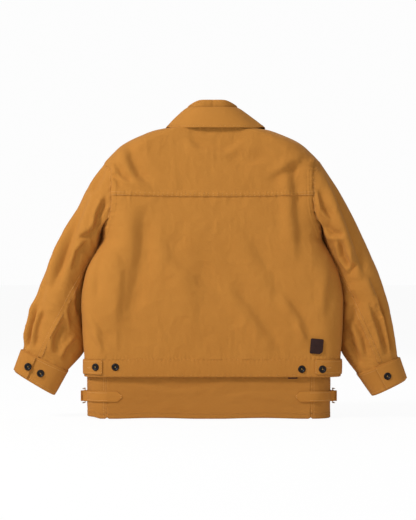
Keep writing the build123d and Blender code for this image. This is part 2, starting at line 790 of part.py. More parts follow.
POCKET_IN = 84.0
POCKET_OUT = 200.0
POCKET_LOW = 408.0
POCKET_HIGH = 544.0
with BuildPart() as left_chest_pocket:
    add(body_skin(GAP, 2.0))
    add(
        column(
            [
                (-POCKET_OUT, POCKET_LOW + 12),
                (-POCKET_OUT + 14, POCKET_LOW),
                (-POCKET_IN - 14, POCKET_LOW),
                (-POCKET_IN, POCKET_LOW + 12),
                (-POCKET_IN, POCKET_HIGH),
                (-POCKET_OUT, POCKET_HIGH),
            ],
            20,
            150,
        ),
        mode=Mode.INTERSECT,
    )

FLAP_TOP = 560.0
FLAP_LOW = 508.0
FLAP_OVER = 4.0
POCKET_MID = (POCKET_IN + POCKET_OUT) / 2
FLAP_BUTTON_Z = 524.0
with BuildPart() as left_chest_flap:
    add(body_skin(GAP + 2.0 + GAP, TRIM))
    add(
        column(
            [
                (-POCKET_OUT - FLAP_OVER, FLAP_LOW + 12),
                (-POCKET_MID, FLAP_LOW),
                (-POCKET_IN + FLAP_OVER, FLAP_LOW + 12),
                (-POCKET_IN + FLAP_OVER, FLAP_TOP),
                (-POCKET_OUT - FLAP_OVER, FLAP_TOP),
            ],
            20,
            150,
        ),
        mode=Mode.INTERSECT,
    )
    with BuildSketch(Plane.XZ):
        with Locations((-POCKET_MID, FLAP_BUTTON_Z)):
            Circle(POCKET_BUTTON_R + 1.6)
    extrude(amount=-150, mode=Mode.SUBTRACT)


def front_plane(x, z, gap):
    """A plane on the front of the body at a height between two outlines of it."""
    for low, high in zip(BODY, BODY[1:]):
        if low[0] <= z <= high[0]:
            mix = (z - low[0]) / (high[0] - low[0])
            half_width, half_depth = (a + (b - a) * mix for a, b in zip(low[1:], high[1:]))
            return oval_plane(half_width, half_depth, x, z, 1, gap)
    raise ValueError("no outline of the body at this height")


chest_button_planes = [front_plane(s * POCKET_MID, FLAP_BUTTON_Z, 4 * GAP + 2.0 + TRIM) for s in (-1, 1)]
with BuildPart() as chest_buttons:
    add(place(pocket_button, chest_button_planes))

with BuildPart() as chest_button_tacks:
    add(place(button_tack, chest_button_planes))

with BuildPart() as left_pocket_welt:
    add(body_skin(GAP, 2.0))
    add(
        column([(-170, 205), (-148, 205), (-196, 345), (-218, 345)], 20, 150),
        mode=Mode.INTERSECT,
    )

FRONT_BUTTON_X = -18.0
with BuildPart() as front_waist_button:
    add(band_plane(FRONT_BUTTON_X, WAIST_BUTTON_Z, 1, BUTTON_GAP).location * button)

with BuildPart() as front_waist_tack:
    add(band_plane(FRONT_BUTTON_X, WAIST_BUTTON_Z, 1, BUTTON_GAP).location * button_tack)

# ---------------------------------------------------------------- clasps down the front
PLATE_LONG = 34.0
PLATE_HIGH = 26.0
PLATE_THICK = 1.6
PLATE_X = -22.0  # middle of the base plate
HINGE_X = -9.0
HINGE_R = 1.3
KNUCKLE_R = 2.7
HINGE_LIFT = PLATE_THICK + KNUCKLE_R + 0.5
HOOK_REACH = 38.0
HOOK_HIGH = 13.0
HOOK_THICK = 1.8
LIP_DEEP = 4.6
DEE_BAR_X = 46.0
DEE_TIP_X = 23.8
DEE_WIRE = 1.5
DEE_HALF = 13.0


def front_y(z):
    """The body's foremost Y at a height."""
    return front_plane(0.0, z, 0.0).origin.Y


def plate_y(z):
    """The plane that a clasp's plates stand on: clear of the placket over the plate's height."""
    return max(front_y(z - PLATE_HIGH / 2), front_y(z), front_y(z + PLATE_HIGH / 2)) + GAP + TRIM + 0.4


def clasp_plate(z):
    """Base plate with two ears that carry the hinge."""
    y = plate_y(z)
    with BuildPart() as plate:
        with BuildSketch(Plane.XZ.offset(-y)):
            with Locations((PLATE_X, z)):
                RectangleRounded(PLATE_LONG, PLATE_HIGH, 4)
        extrude(amount=-PLATE_THICK)
        for sign in (-1, 1):
            low = z + sign * (HOOK_HIGH / 2 + 2.2) - 1.7
            with BuildSketch(Plane.XY.offset(low)):
                with Locations((HINGE_X, y + HINGE_LIFT)):
                    Circle(KNUCKLE_R)
                with Locations((HINGE_X, y + PLATE_THICK / 2 + HINGE_LIFT / 2)):
                    Rectangle(2 * KNUCKLE_R, HINGE_LIFT - PLATE_THICK)
            extrude(amount=3.4)
        add(
            upright_bar(HINGE_X, y + HINGE_LIFT, z - PLATE_HIGH, z + PLATE_HIGH, HINGE_R + 0.02),
            mode=Mode.SUBTRACT,
        )
    return plate.part


def clasp_hook(z):
    """Lever on the hinge, with a lip that drops through the dee ring."""
    y = plate_y(z) + HINGE_LIFT
    low = z - HOOK_HIGH / 2
    with BuildPart() as hook:
        with BuildSketch(Plane.XY.offset(low)):
            with BuildLine():
                Polyline(
                    (HINGE_X, y + KNUCKLE_R - HOOK_THICK),
                    (HINGE_X + HOOK_REACH - HOOK_THICK, y + KNUCKLE_R - HOOK_THICK),
                    (HINGE_X + HOOK_REACH - HOOK_THICK, y + KNUCKLE_R - HOOK_THICK - LIP_DEEP),
                    (HINGE_X + HOOK_REACH, y + KNUCKLE_R - HOOK_THICK - LIP_DEEP),
                    (HINGE_X + HOOK_REACH, y + KNUCKLE_R),
                    (HINGE_X, y + KNUCKLE_R),
                    close=True,
                )
            make_face()
            with Locations((HINGE_X, y)):
                Circle(KNUCKLE_R)
                Circle(HINGE_R + 0.08, mode=Mode.SUBTRACT)
        extrude(amount=HOOK_HIGH)
    return hook.part


def dee_ring(z):
    """Wire dee whose straight side is held by a keeper."""
    y = plate_y(z) + HINGE_LIFT + KNUCKLE_R - HOOK_THICK - DEE_WIRE - 0.5
    with BuildPart() as ring:
        with BuildLine() as bow:
            ThreePointArc((DEE_BAR_X, y, z + DEE_HALF), (DEE_TIP_X, y, z), (DEE_BAR_X, y, z - DEE_HALF))
        with BuildSketch(Plane(origin=bow.line @ 0, z_dir=bow.line % 0)):
            Circle(DEE_WIRE)
        sweep(path=bow.line)
        add(upright_bar(DEE_BAR_X, y, z - DEE_HALF, z + DEE_HALF, DEE_WIRE))
        with Locations((DEE_BAR_X, y, z - DEE_HALF), (DEE_BAR_X, y, z + DEE_HALF)):
            Sphere(DEE_WIRE)
    return ring.part


def keeper(z):
    """Strap doubled round the dee's straight side and sewn to the right front."""
    y = plate_y(z) + HINGE_LIFT + KNUCKLE_R - HOOK_THICK - DEE_WIRE - 0.5
    clear = DEE_WIRE + 0.25
    low = z - 9.0
    back = max(front_y(z - 9), front_y(z), front_y(z + 9)) + 0.4
    with BuildPart() as strap:
        with BuildSketch(Plane.XY.offset(low)):
            with Locations((DEE_BAR_X, y)):
                Circle(clear + 1.2)
            with BuildLine():
                Polyline(
                    (DEE_BAR_X, y + clear + 1.2),
                    (DEE_BAR_X + 30, back + 2.4),
                    (DEE_BAR_X + 30, back),
                    (DEE_BAR_X - 1.0, back),
                    (DEE_BAR_X - 1.0, y),
                    close=True,
                )
            make_face()
            with Locations((DEE_BAR_X, y)):
                Circle(clear, mode=Mode.SUBTRACT)
        extrude(amount=18)
    return strap.part


def rivet(x, y, z):
    """Domed rivet head standing on an XZ plane and facing the front."""
    with BuildPart() as head:
        with BuildSketch(Plane.YZ.offset(x)):
            with BuildLine():
                Polyline((y, z), (y + 0.4, z), (y + 1.4, z))
                ThreePointArc((y + 1.4, z), (y + 1.0, z + 1.6), (y, z + 2.2))
                Line((y, z + 2.2), (y, z))
            make_face()
        revolve(axis=Axis((x, y, z), (0, 1, 0)))
    return head.part


with BuildPart() as clasp_plates:
    for height in CLASP_HEIGHTS:
        add(clasp_plate(height))

with BuildPart() as clasp_pins:
    for height in CLASP_HEIGHTS:
        add(
            upright_bar(
                HINGE_X,
                plate_y(height) + HINGE_LIFT,
                height - HOOK_HIGH / 2 - 4,
                height + HOOK_HIGH / 2 + 4,
                HINGE_R,
            )
        )

with BuildPart() as dee_rings:
    for height in CLASP_HEIGHTS:
        add(dee_ring(height))

with BuildPart() as dee_keepers:
    for height in CLASP_HEIGHTS:
        add(keeper(height))

with BuildPart() as clasp_rivets:
    for height in CLASP_HEIGHTS:
        for sign in (-1, 1):
            add(rivet(PLATE_X - 9.0, plate_y(height) + PLATE_THICK + 0.05, height + sign * 8.0))

clasp_hooks = []
for height in CLASP_HEIGHTS:
    with BuildPart() as hook_piece:
        add(clasp_hook(height))
    clasp_hooks.append(hook_piece)

# ---------------------------------------------------------------- export
for name, piece in arm_pieces["left"].items():
    export(piece, f"left_{name}")
for name, piece in arm_pieces["right"].items():
    export(mirrored(piece), f"right_{name}")

PAIRED_PIECES = {
    "chest_pocket": left_chest_pocket,
    "chest_flap": left_chest_flap,
    "pocket_welt": left_pocket_welt,
}
for name, piece in PAIRED_PIECES.items():
    export(piece, f"left_{name}")
    export(mirrored(piece), f"right_{name}")

INNER_PAIRS = {
    "left_buckle": left_buckle,
    "left_strap_base": left_strap_base,
    "left_strap_tail": left_strap_tail,
    "inner_left_side": inner_left_side,
    "inner_left_front": inner_left_front,
}
for name, piece in INNER_PAIRS.items():
    export(shifted(piece), name)
    export(shifted(mirrored(piece)), name.replace("left", "right"))
export(shifted(inner_back), "inner_back")
export(shifted(inner_label), "inner_label")

SINGLE_PIECES = {
    "left_waist_tab": waist_tabs["left"],
    "right_waist_tab": waist_tabs["right"],
    "back_panel": back_panel,
    "back_yoke": back_yoke,
    "left_front_panel": left_front_panel,
    "right_front_panel": right_front_panel,
    "body_lining": body_lining,
    "waistband": waistband,
    "stand_collar": stand_collar,
    "outer_collar": outer_collar,
    "under_collar": under_collar,
    "hanger_loop": hanger_loop,
    "waist_buttons": waist_buttons,
    "waist_button_tacks": waist_button_tacks,
    "leather_patch": leather_patch,
    "storm_placket": storm_placket,
    "chest_buttons": chest_buttons,
    "chest_button_tacks": chest_button_tacks,
    "front_waist_button": front_waist_button,
    "front_waist_tack": front_waist_tack,
    "clasp_plates": clasp_plates,
    "clasp_pins": clasp_pins,
    "dee_rings": dee_rings,
    "dee_keepers": dee_keepers,
    "clasp_rivets": clasp_rivets,
}
for name, piece in SINGLE_PIECES.items():
    export(piece, name)
for number, piece in enumerate(clasp_hooks, 1):
    export(piece, f"clasp_hook_{number}")
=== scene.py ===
"""Looks of the canvas turnout coat, in metres, in the frame of its CAD part."""

import bpy
import numpy as np
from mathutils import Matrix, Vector


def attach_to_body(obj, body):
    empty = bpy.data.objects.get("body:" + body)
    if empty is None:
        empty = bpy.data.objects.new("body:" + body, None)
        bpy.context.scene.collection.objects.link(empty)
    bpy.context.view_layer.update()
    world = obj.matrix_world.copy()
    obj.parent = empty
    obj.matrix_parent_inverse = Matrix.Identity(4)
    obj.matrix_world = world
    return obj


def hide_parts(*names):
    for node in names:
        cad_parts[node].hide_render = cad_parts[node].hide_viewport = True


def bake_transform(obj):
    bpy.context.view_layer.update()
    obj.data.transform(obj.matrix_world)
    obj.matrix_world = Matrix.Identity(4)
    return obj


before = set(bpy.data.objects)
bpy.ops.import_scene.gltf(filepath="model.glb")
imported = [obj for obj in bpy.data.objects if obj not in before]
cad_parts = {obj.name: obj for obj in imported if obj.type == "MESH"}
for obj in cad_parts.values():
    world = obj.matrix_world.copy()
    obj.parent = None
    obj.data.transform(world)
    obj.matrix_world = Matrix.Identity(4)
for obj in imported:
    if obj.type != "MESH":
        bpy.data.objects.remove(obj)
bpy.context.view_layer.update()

# ---------------------------------------------------------------- sizes, as in the CAD part
MID_Y = -0.003  # plane of the side seams
SIDES = (("left", -1), ("right", 1))
# How thick the cloth of each kind of piece is.
CANVAS, BAND_THICK, CUFF_THICK, CUFF_FLAP_THICK = 0.0024, 0.0035, 0.0032, 0.0022
STAND_THICK, COLLAR_THICK, UNDER_THICK = 0.003, 0.0022, 0.0014
TAB_THICK, TAIL_THICK, BASE_THICK, KEEPER_THICK = 0.0024, 0.0019, 0.0018, 0.0013
SEAM_THICK, LINING_THICK, LOOP_THICK = 0.0018, 0.0013, 0.0016
HALF_HEM, HEM_DEPTH = 0.301, 0.066
HALF_BAND, BAND_DEPTH = 0.316, 0.076
BAND_LOW, BAND_HIGH = 0.103, 0.147
YOKE_Z = 0.549
NECK_TOP = 0.718
ARMPIT_Z, SHOULDER_Z = 0.446, 0.641

# Half width of the body at each height, then its half depth and the radius of its sides.
BODY_Z = (
    0.147, 0.22, 0.287, 0.352, 0.387, 0.415, 0.446, 0.5, 0.56, 0.6,
    0.625, 0.647, 0.659, 0.671, 0.683, 0.695, 0.708, 0.714, 0.718,
)
BODY_X = (
    0.316, 0.3215, 0.324, 0.3145, 0.3005, 0.286, 0.2715, 0.277, 0.285, 0.281,
    0.27, 0.2515, 0.239, 0.226, 0.2075, 0.1815, 0.148, 0.122, 0.095,
)
DEPTH_Z = (0.147, 0.3, 0.44, 0.56, 0.615, 0.647, 0.68, 0.718)
DEPTH_Y = (0.076, 0.08, 0.08, 0.076, 0.07, 0.066, 0.063, 0.06)
ROUND_Z = (0.147, 0.3, 0.45, 0.6, 0.65, 0.718)
ROUND_R = (0.052, 0.06, 0.072, 0.066, 0.06, 0.055)

# The armhole seam seen from behind: height and distance from the middle.
ARMHOLE_Z = (0.446, 0.47, 0.505, 0.544, 0.6, 0.625, 0.641)
ARMHOLE_X = (0.2712, 0.2625, 0.2515, 0.247, 0.247, 0.251, 0.2555)

# Sleeve sections written for the left: outer edge x and z, inner edge x and z, half depth.
SLEEVES = {
    "left": (
        ((-0.314, 0.561), (-0.2815, 0.426), 0.064),
        ((-0.3535, 0.487), (-0.2905, 0.395), 0.062),
        ((-0.388, 0.418), (-0.3085, 0.352), 0.06),
        ((-0.4135, 0.358), (-0.317, 0.302), 0.058),
        ((-0.4355, 0.302), (-0.3185, 0.248), 0.055),
        ((-0.4585, 0.229), (-0.3155, 0.171), 0.049),
        ((-0.4695, 0.166), (-0.36, 0.114), 0.0395),
    ),
    "right": (
        ((-0.315, 0.561), (-0.2815, 0.426), 0.064),
        ((-0.354, 0.487), (-0.2905, 0.395), 0.062),
        ((-0.3855, 0.418), (-0.3085, 0.352), 0.06),
        ((-0.411, 0.358), (-0.317, 0.302), 0.058),
        ((-0.4305, 0.302), (-0.3185, 0.25), 0.055),
        ((-0.4475, 0.229), (-0.3155, 0.175), 0.05),
        ((-0.4595, 0.147), (-0.3605, 0.106), 0.0445),
    ),
}
# How far the inner edge of each section swings to the front, past the body's side.
SLEEVE_FORWARD = (0.004, 0.012, 0.018, 0.02, 0.02, 0.018, 0.0)
CUFF_ENDS = {
    "left": ((-0.489, 0.113), (-0.393, 0.056), 0.036),
    "right": ((-0.478, 0.093), (-0.398, 0.054), 0.042),
}
LOWER_X = -0.009  # the inner layer hangs this far to the left


# ---------------------------------------------------------------- small tools
def unit(vectors):
    """Vectors scaled to length one."""
    return vectors / np.maximum(np.linalg.norm(vectors, axis=-1, keepdims=True), 1e-12)


def travelled(points):
    """Distance along a polyline from its first point."""
    return np.concatenate([[0], np.cumsum(np.linalg.norm(np.diff(points, axis=0), axis=1))])


def with_z(xy, z):
    """Points or directions from their (x, y) and a height or heights."""
    return np.concatenate([xy, np.broadcast_to(z, xy.shape[:-1])[..., None]], -1)


def hermite(t, step, start, start_slope, end, end_slope):
    """A cubic between two values with given slopes, at share t of the step between them."""
    return (
        (2 * t**3 - 3 * t**2 + 1) * start
        + (t**3 - 2 * t**2 + t) * step * start_slope
        + (3 * t**2 - 2 * t**3) * end
        + (t**3 - t**2) * step * end_slope
    )


def smooth_table(x, xs, ys):
    """Monotone cubic through a table."""
    x, xs, ys = np.asarray(x, float), np.asarray(xs, float), np.asarray(ys, float)
    steps = np.diff(xs)
    slopes = np.diff(ys) / steps
    tangents = np.zeros_like(ys)
    same = slopes[:-1] * slopes[1:] > 0
    tangents[1:-1][same] = 2 / (1 / slopes[:-1][same] + 1 / slopes[1:][same])
    tangents[0], tangents[-1] = slopes[0], slopes[-1]
    i = np.clip(np.searchsorted(xs, x) - 1, 0, len(xs) - 2)
    t = np.clip((x - xs[i]) / steps[i], 0, 1)
    return hermite(t, steps[i], ys[i], tangents[i], ys[i + 1], tangents[i + 1])


def resample(points, count, closed=False):
    """A polyline at equal steps along its length."""
    points = np.asarray(points, float)
    if closed:
        points = np.vstack([points, points[:1]])
    lengths = travelled(points)
    at = np.linspace(0, lengths[-1], count + 1 if closed else count)
    out = np.stack([np.interp(at, lengths, points[:, k]) for k in range(points.shape[1])], 1)
    return out[:-1] if closed else out


def smoothstep(a, b, x):
    t = np.clip((x - a) / (b - a), 0, 1)
    return t * t * (3 - 2 * t)


def value_noise(x, y, scale, seed, octaves=2):
    """Smooth noise from -1 to 1 over two coordinates."""
    total, weight = np.zeros(np.broadcast(x, y).shape), 0.0
    for octave in range(octaves):
        table = np.random.default_rng(seed + 31 * octave).uniform(-1, 1, (64, 64))
        u = np.asarray(x) / scale * 2**octave + 17.3
        v = np.asarray(y) / scale * 2**octave + 9.1
        iu, iv = np.floor(u).astype(int), np.floor(v).astype(int)
        fu, fv = u - iu, v - iv
        fu, fv = fu * fu * (3 - 2 * fu), fv * fv * (3 - 2 * fv)
        a, b = table[iu % 64, iv % 64], table[(iu + 1) % 64, iv % 64]
        c, d = table[iu % 64, (iv + 1) % 64], table[(iu + 1) % 64, (iv + 1) % 64]
        amount = 0.5**octave
        total += amount * ((a * (1 - fu) + b * fu) * (1 - fv) + (c * (1 - fu) + d * fu) * fv)
        weight += amount
    return total / weight


def crease_noise(x, y, scale, seed):
    """Crumpled cloth from -1 to 1: soft hollows that meet in narrow crests."""
    bend = 0.35 * scale
    u = x + bend * value_noise(x, y, scale * 1.3, seed + 5)
    v = y + bend * value_noise(x, y, scale * 1.3, seed + 9)
    first = 1 - 2 * np.abs(value_noise(u, v, scale, seed, 1))
    second = 1 - 2 * np.abs(value_noise(v * 0.8, u * 1.2, scale * 0.6, seed + 3, 1))
    return 0.65 * first + 0.35 * second


# A fold's reach on the side of its ridge and on the other, and its ridge's height, place and reach.
STEEP, GENTLE = 0.62, 1.25
RIDGE_SHARE, RIDGE_AWAY, RIDGE_REACH = 0.7, 1.3, 0.95


def fold(x, z, points, width, depth):
    """A soft fold along a line of (x, z) points: a valley with a ridge on its side, fading at its ends."""
    best = np.full(x.shape, 1e9)
    side = np.zeros(x.shape)
    along = np.zeros(x.shape)
    total = sum(np.hypot(b[0] - a[0], b[1] - a[1]) for a, b in zip(points, points[1:]))
    run = 0.0
    for (ax, az), (bx, bz) in zip(points, points[1:]):
        dx, dz = bx - ax, bz - az
        length = np.hypot(dx, dz)
        t = np.clip(((x - ax) * dx + (z - az) * dz) / length**2, 0, 1)
        px, pz = x - ax - t * dx, z - az - t * dz
        distance = np.hypot(px, pz)
        near = distance < best
        best = np.where(near, distance, best)
        side = np.where(near, np.sign(px * dz - pz * dx), side)
        along = np.where(near, (run + t * length) / total, along)
        run += length
    signed = best * side
    fade = smoothstep(-0.02, 0.3, along) * smoothstep(1.02, 0.7, along)
    valley = -np.exp(-((signed / (np.where(signed > 0, STEEP, GENTLE) * width)) ** 2))
    hill = RIDGE_SHARE * np.exp(-(((signed - RIDGE_AWAY * width) / (RIDGE_REACH * width)) ** 2))
    return depth * fade * (valley + hill)


def oblong(half_width, half_depth, radius, count=400):
    """Back half of a rounded oblong, from its left end to its right end, as (x, y)."""
    radius = min(radius, half_depth - 0.0005, half_width - 0.0005)
    angle = np.linspace(0, np.pi / 2, count // 3)
    corner_x = -(half_width - radius) - radius * np.cos(angle)
    corner_y = -(half_depth - radius) - radius * np.sin(angle)
    left = np.stack([corner_x, corner_y], 1)
    right = np.stack([-corner_x[::-1], corner_y[::-1]], 1)
    start, end = np.array([[-half_width, 0.0]]), np.array([[half_width, 0.0]])
    middle = np.linspace(left[-1], right[0], count // 3)[1:-1]
    return np.vstack([start, left, middle, right, end])


def body_section(z):
    """Half width, half depth and side radius of the body at a height."""
    return (
        float(smooth_table(z, BODY_Z, BODY_X)),
        float(smooth_table(z, DEPTH_Z, DEPTH_Y)),
        float(smooth_table(z, ROUND_Z, ROUND_R)),
    )


def armhole_x(z):
    return float(smooth_table(z, ARMHOLE_Z, ARMHOLE_X))


def arcs_of(outline):
    """Distance along an outline from its middle."""
    at = travelled(outline)
    return at - at[-1] / 2


def arm_cut(z, outline, arcs):
    """How far round from the middle a panel reaches: to the side seam, or to the armhole above it."""
    whole = arcs[-1]
    if not ARMPIT_Z < z < SHOULDER_Z:
        return whole
    right = outline[:, 0] > 0
    straight = np.interp(armhole_x(z), outline[right, 0], arcs[right])
    under = 1 - smoothstep(ARMPIT_Z, ARMPIT_Z + 0.055, z)
    over = smoothstep(SHOULDER_Z - 0.03, SHOULDER_Z, z)
    return straight + (whole - straight) * max(under, over)


def body_row(z, side, left, right, count):
    """A level row on the body between two distances round from the middle, cut at the armhole;
    side is -1 behind and 1 in front."""
    outline = oblong(*body_section(z))
    arcs = arcs_of(outline)
    reach = arm_cut(z, outline, arcs)
    at = np.linspace(max(left, -reach), min(right, reach), count)
    x, y = np.interp(at, arcs, outline[:, 0]), np.interp(at, arcs, outline[:, 1])
    return np.stack([x, MID_Y - side * y, np.full(count, z)], 1)


# ---------------------------------------------------------------- meshes
EDGE_BULGE = 0.35  # how far the edge of a sheet rounds out, as a share of its thickness
OUT_BEHIND, OUT_IN_FRONT = (0, -1, 0), (0, 1, 0)


def normals_of(grid, wrap):
    rows = np.gradient(grid, axis=0)
    if wrap:
        cols = (np.roll(grid, -1, 1) - np.roll(grid, 1, 1)) / 2
    else:
        cols = np.gradient(grid, axis=1)
    return unit(np.cross(cols, rows))


def outward_from_axis(grid):
    """Level directions away from the middle of the coat, mostly to the front and the back."""
    away = grid - np.array([0.0, MID_Y, 0.0])
    away[:, :, 2] = 0
    away[:, :, 0] *= 0.25
    return away


def outward_from_rings(grid):
    """Directions away from the middle of each row, for a sheet that closes on itself."""
    return grid - grid.mean(1, keepdims=True)


def turned_out(grid, wrap, outward):
    """Unit normals of a grid on its outward side, and whether they had to be turned over."""
    normal = normals_of(grid, wrap)
    flip = np.mean(np.sum(normal * outward, axis=2)) < 0
    return (-normal if flip else normal), flip


def make_object(name, verts, faces, uvs=None, materials=(), face_material=None):
    mesh = bpy.data.meshes.new(name)
    mesh.from_pydata([tuple(v) for v in verts], [], [tuple(int(i) for i in f) for f in faces])
    if uvs is not None:
        layer = mesh.uv_layers.new(name="cloth")
        loops = np.empty(len(mesh.loops), int)
        mesh.loops.foreach_get("vertex_index", loops)
        layer.data.foreach_set("uv", np.asarray(uvs, float)[loops].ravel())
    for material in materials:
        mesh.materials.append(material)
    if face_material is not None:
        mesh.polygons.foreach_set("material_index", np.asarray(face_material, int))
    mesh.polygons.foreach_set("use_smooth", [True] * len(mesh.polygons))
    mesh.update()
    thing = bpy.data.objects.new(name, mesh)
    bpy.context.scene.collection.objects.link(thing)
    return thing


def cloth(name, grid, thick, materials, outward=None, wrap=False):
    """A closed sheet with rounded edges behind a grid of points on its outer face. The second
    material, if any, goes on its inner face. Without outward, it faces away from the coat's middle."""
    grid = np.asarray(grid, float)
    rows, cols = grid.shape[:2]
    count = rows * cols
    normal, flip = turned_out(grid, wrap, outward_from_axis(grid) if outward is None else outward)
    outer, ups = grid.reshape(-1, 3), normal.reshape(-1, 3)
    inner = outer - ups * thick
    # The cloth's own coordinates are distances along it, across from its middle column.
    row_step = np.linalg.norm(np.diff(grid, axis=0), axis=2)
    col_step = np.linalg.norm(np.diff(grid, axis=1), axis=2)
    v = np.vstack([np.zeros((1, cols)), np.cumsum(row_step, 0)])
    u = np.hstack([np.zeros((rows, 1)), np.cumsum(col_step, 1)])
    u = u - u[:, cols // 2 : cols // 2 + 1]
    uv = np.stack([u, v], 2).reshape(-1, 2)
    index = np.arange(count).reshape(rows, cols)
    right = np.roll(index, -1, 1) if wrap else index[:, 1:]
    left = index if wrap else index[:, :-1]
    quads = np.stack([left[:-1], right[:-1], right[1:], left[1:]], 2).reshape(-1, 4)
    if flip:
        quads = quads[:, ::-1]
    verts, uvs = [outer, inner], [uv, uv]
    faces = [quads, quads[:, ::-1] + count]
    kinds = [np.zeros(len(quads), int), np.full(len(quads), min(1, len(materials) - 1))]
    # Border loops, in the outer face's winding, each closed by a rounded edge.
    if wrap:
        borders = [index[0], index[-1][::-1]]
    else:
        borders = [np.concatenate([index[0, :-1], index[:-1, -1], index[-1, :0:-1], index[:0:-1, 0]])]
    centre = outer.mean(0)
    base = 2 * count
    for loop in borders:
        tangent = unit(np.roll(outer[loop], -1, 0) - np.roll(outer[loop], 1, 0))
        out = np.cross(tangent, ups[loop])
        away = outer[loop].mean(0) - centre if wrap else outer[loop] - centre
        if np.mean(np.sum(out * away, 1)) < 0:
            out = -out
        verts.append((outer[loop] + inner[loop]) / 2 + out * thick * EDGE_BULGE)
        uvs.append(uv[loop])
        following = np.roll(loop, -1)
        middle = base + np.arange(len(loop))
        next_middle = np.roll(middle, -1)
        near = np.stack([loop, middle, next_middle, following], 1)
        far = np.stack([middle, loop + count, following + count, next_middle], 1)
        faces += [near[:, ::-1], far[:, ::-1]] if flip else [near, far]
        kinds.append(np.zeros(2 * len(loop), int))
        base += len(loop)
    kinds = np.concatenate(kinds)
    return make_object(name, np.vstack(verts), np.vstack(faces), np.vstack(uvs), materials, kinds)


def joined(name, parts, materials):
    """One object from (vertices, faces) pairs."""
    verts, faces, base = [], [], 0
    for v, f in parts:
        verts.append(np.asarray(v, float))
        faces += [tuple(i + base for i in face) for face in f]
        base += len(v)
    return make_object(name, np.vstack(verts), faces, None, materials)


def ring_faces(rings, sides):
    """Faces of a stack of rings, with a cap at both ends."""
    faces = []
    for low in range(0, (rings - 1) * sides, sides):
        high = low + sides
        for k in range(sides):
            following = (k + 1) % sides
            faces.append((low + k, low + following, high + following, high + k))
    last = (rings - 1) * sides
    return faces + [tuple(range(sides))[::-1], tuple(range(last, last + sides))]


# Rings along a stitch: where as a share of its length, the share of its radius, and its rise in radii.
STITCH_STATIONS = ((-0.5, 0.35, -0.5), (-0.3, 0.9, 0.1), (0.3, 0.9, 0.1), (0.5, 0.35, -0.5))
STITCH_SIDES = 6
STITCH_LIFT = 0.0001


def stitches(points, normals, pitch=0.0042, length=0.0031, radius=0.00042):
    """Thread stitches along a line on cloth, as (vertices, faces) pairs."""
    points, normals = np.asarray(points, float), np.asarray(normals, float)
    total = np.linalg.norm(np.diff(points, axis=0), axis=1).sum()
    line = resample(np.hstack([points, normals]), max(2, int(total / pitch)))
    place, up = line[:, :3], unit(line[:, 3:])
    tangent = unit(np.gradient(place, axis=0))
    across = np.cross(up, tangent)
    ring = np.linspace(0, 2 * np.pi, STITCH_SIDES, endpoint=False)
    faces = ring_faces(len(STITCH_STATIONS), STITCH_SIDES)
    parts = []
    for p, n, t, a in zip(place, up, tangent, across):
        verts = []
        for shift, share, rise in STITCH_STATIONS:
            centre = p + t * shift * length + n * (STITCH_LIFT + rise * radius)
            verts.append(centre + radius * share * (np.cos(ring)[:, None] * a + np.sin(ring)[:, None] * n))
        parts.append((np.vstack(verts), faces))
    return parts


# ---------------------------------------------------------------- materials
def set_sockets(node, values):
    for key, value in values.items():
        node.inputs[key].default_value = value


def add_node(tree, kind, values=None, links=None, operation=None):
    """A shader node with constant values on its sockets and links into its sockets."""
    node = tree.nodes.new("ShaderNode" + kind)
    if operation:
        node.operation = operation
    set_sockets(node, values or {})
    for key, source in (links or {}).items():
        tree.links.new(source, node.inputs[key])
    return node


def new_material(name, values):
    """A material with constant values on its shader, and the material's tree and shader."""
    material = bpy.data.materials.new(name)
    material.use_nodes = True
    tree = material.node_tree
    shader = tree.nodes["Principled BSDF"]
    set_sockets(shader, values)
    return material, tree, shader


def noise_node(tree, place, scale, **values):
    noise = add_node(tree, "TexNoise", {"Scale": scale}, {"Vector": place.outputs["Object"]})
    set_sockets(noise, {key.capitalize(): value for key, value in values.items()})
    return noise.outputs["Fac"]


def tint(tree, shader, source, low, high, low_at=0.0, high_at=1.0):
    """Colour a shader between two tints by the height of a source."""
    ramp = add_node(tree, "ValToRGB", links={"Fac": source})
    first, last = ramp.color_ramp.elements
    first.position, first.color = low_at, (*low, 1)
    last.position, last.color = high_at, (*high, 1)
    tree.links.new(ramp.outputs["Color"], shader.inputs["Base Color"])


def bump(tree, shader, source, strength, distance):
    relief = add_node(tree, "Bump", {"Strength": strength, "Distance": distance}, {"Height": source})
    tree.links.new(relief.outputs["Normal"], shader.inputs["Normal"])


CLOTH_SHADER = {
    "Roughness": 0.88,
    "Sheen Weight": 0.04,
    "Sheen Roughness": 0.5,
    "Sheen Tint": (1.0, 0.8, 0.55, 1.0),
    "Specular IOR Level": 0.18,
}
YARN_SCALE, YARN_BUMP, YARN_DEPTH = 260.0, 0.35, 0.0004


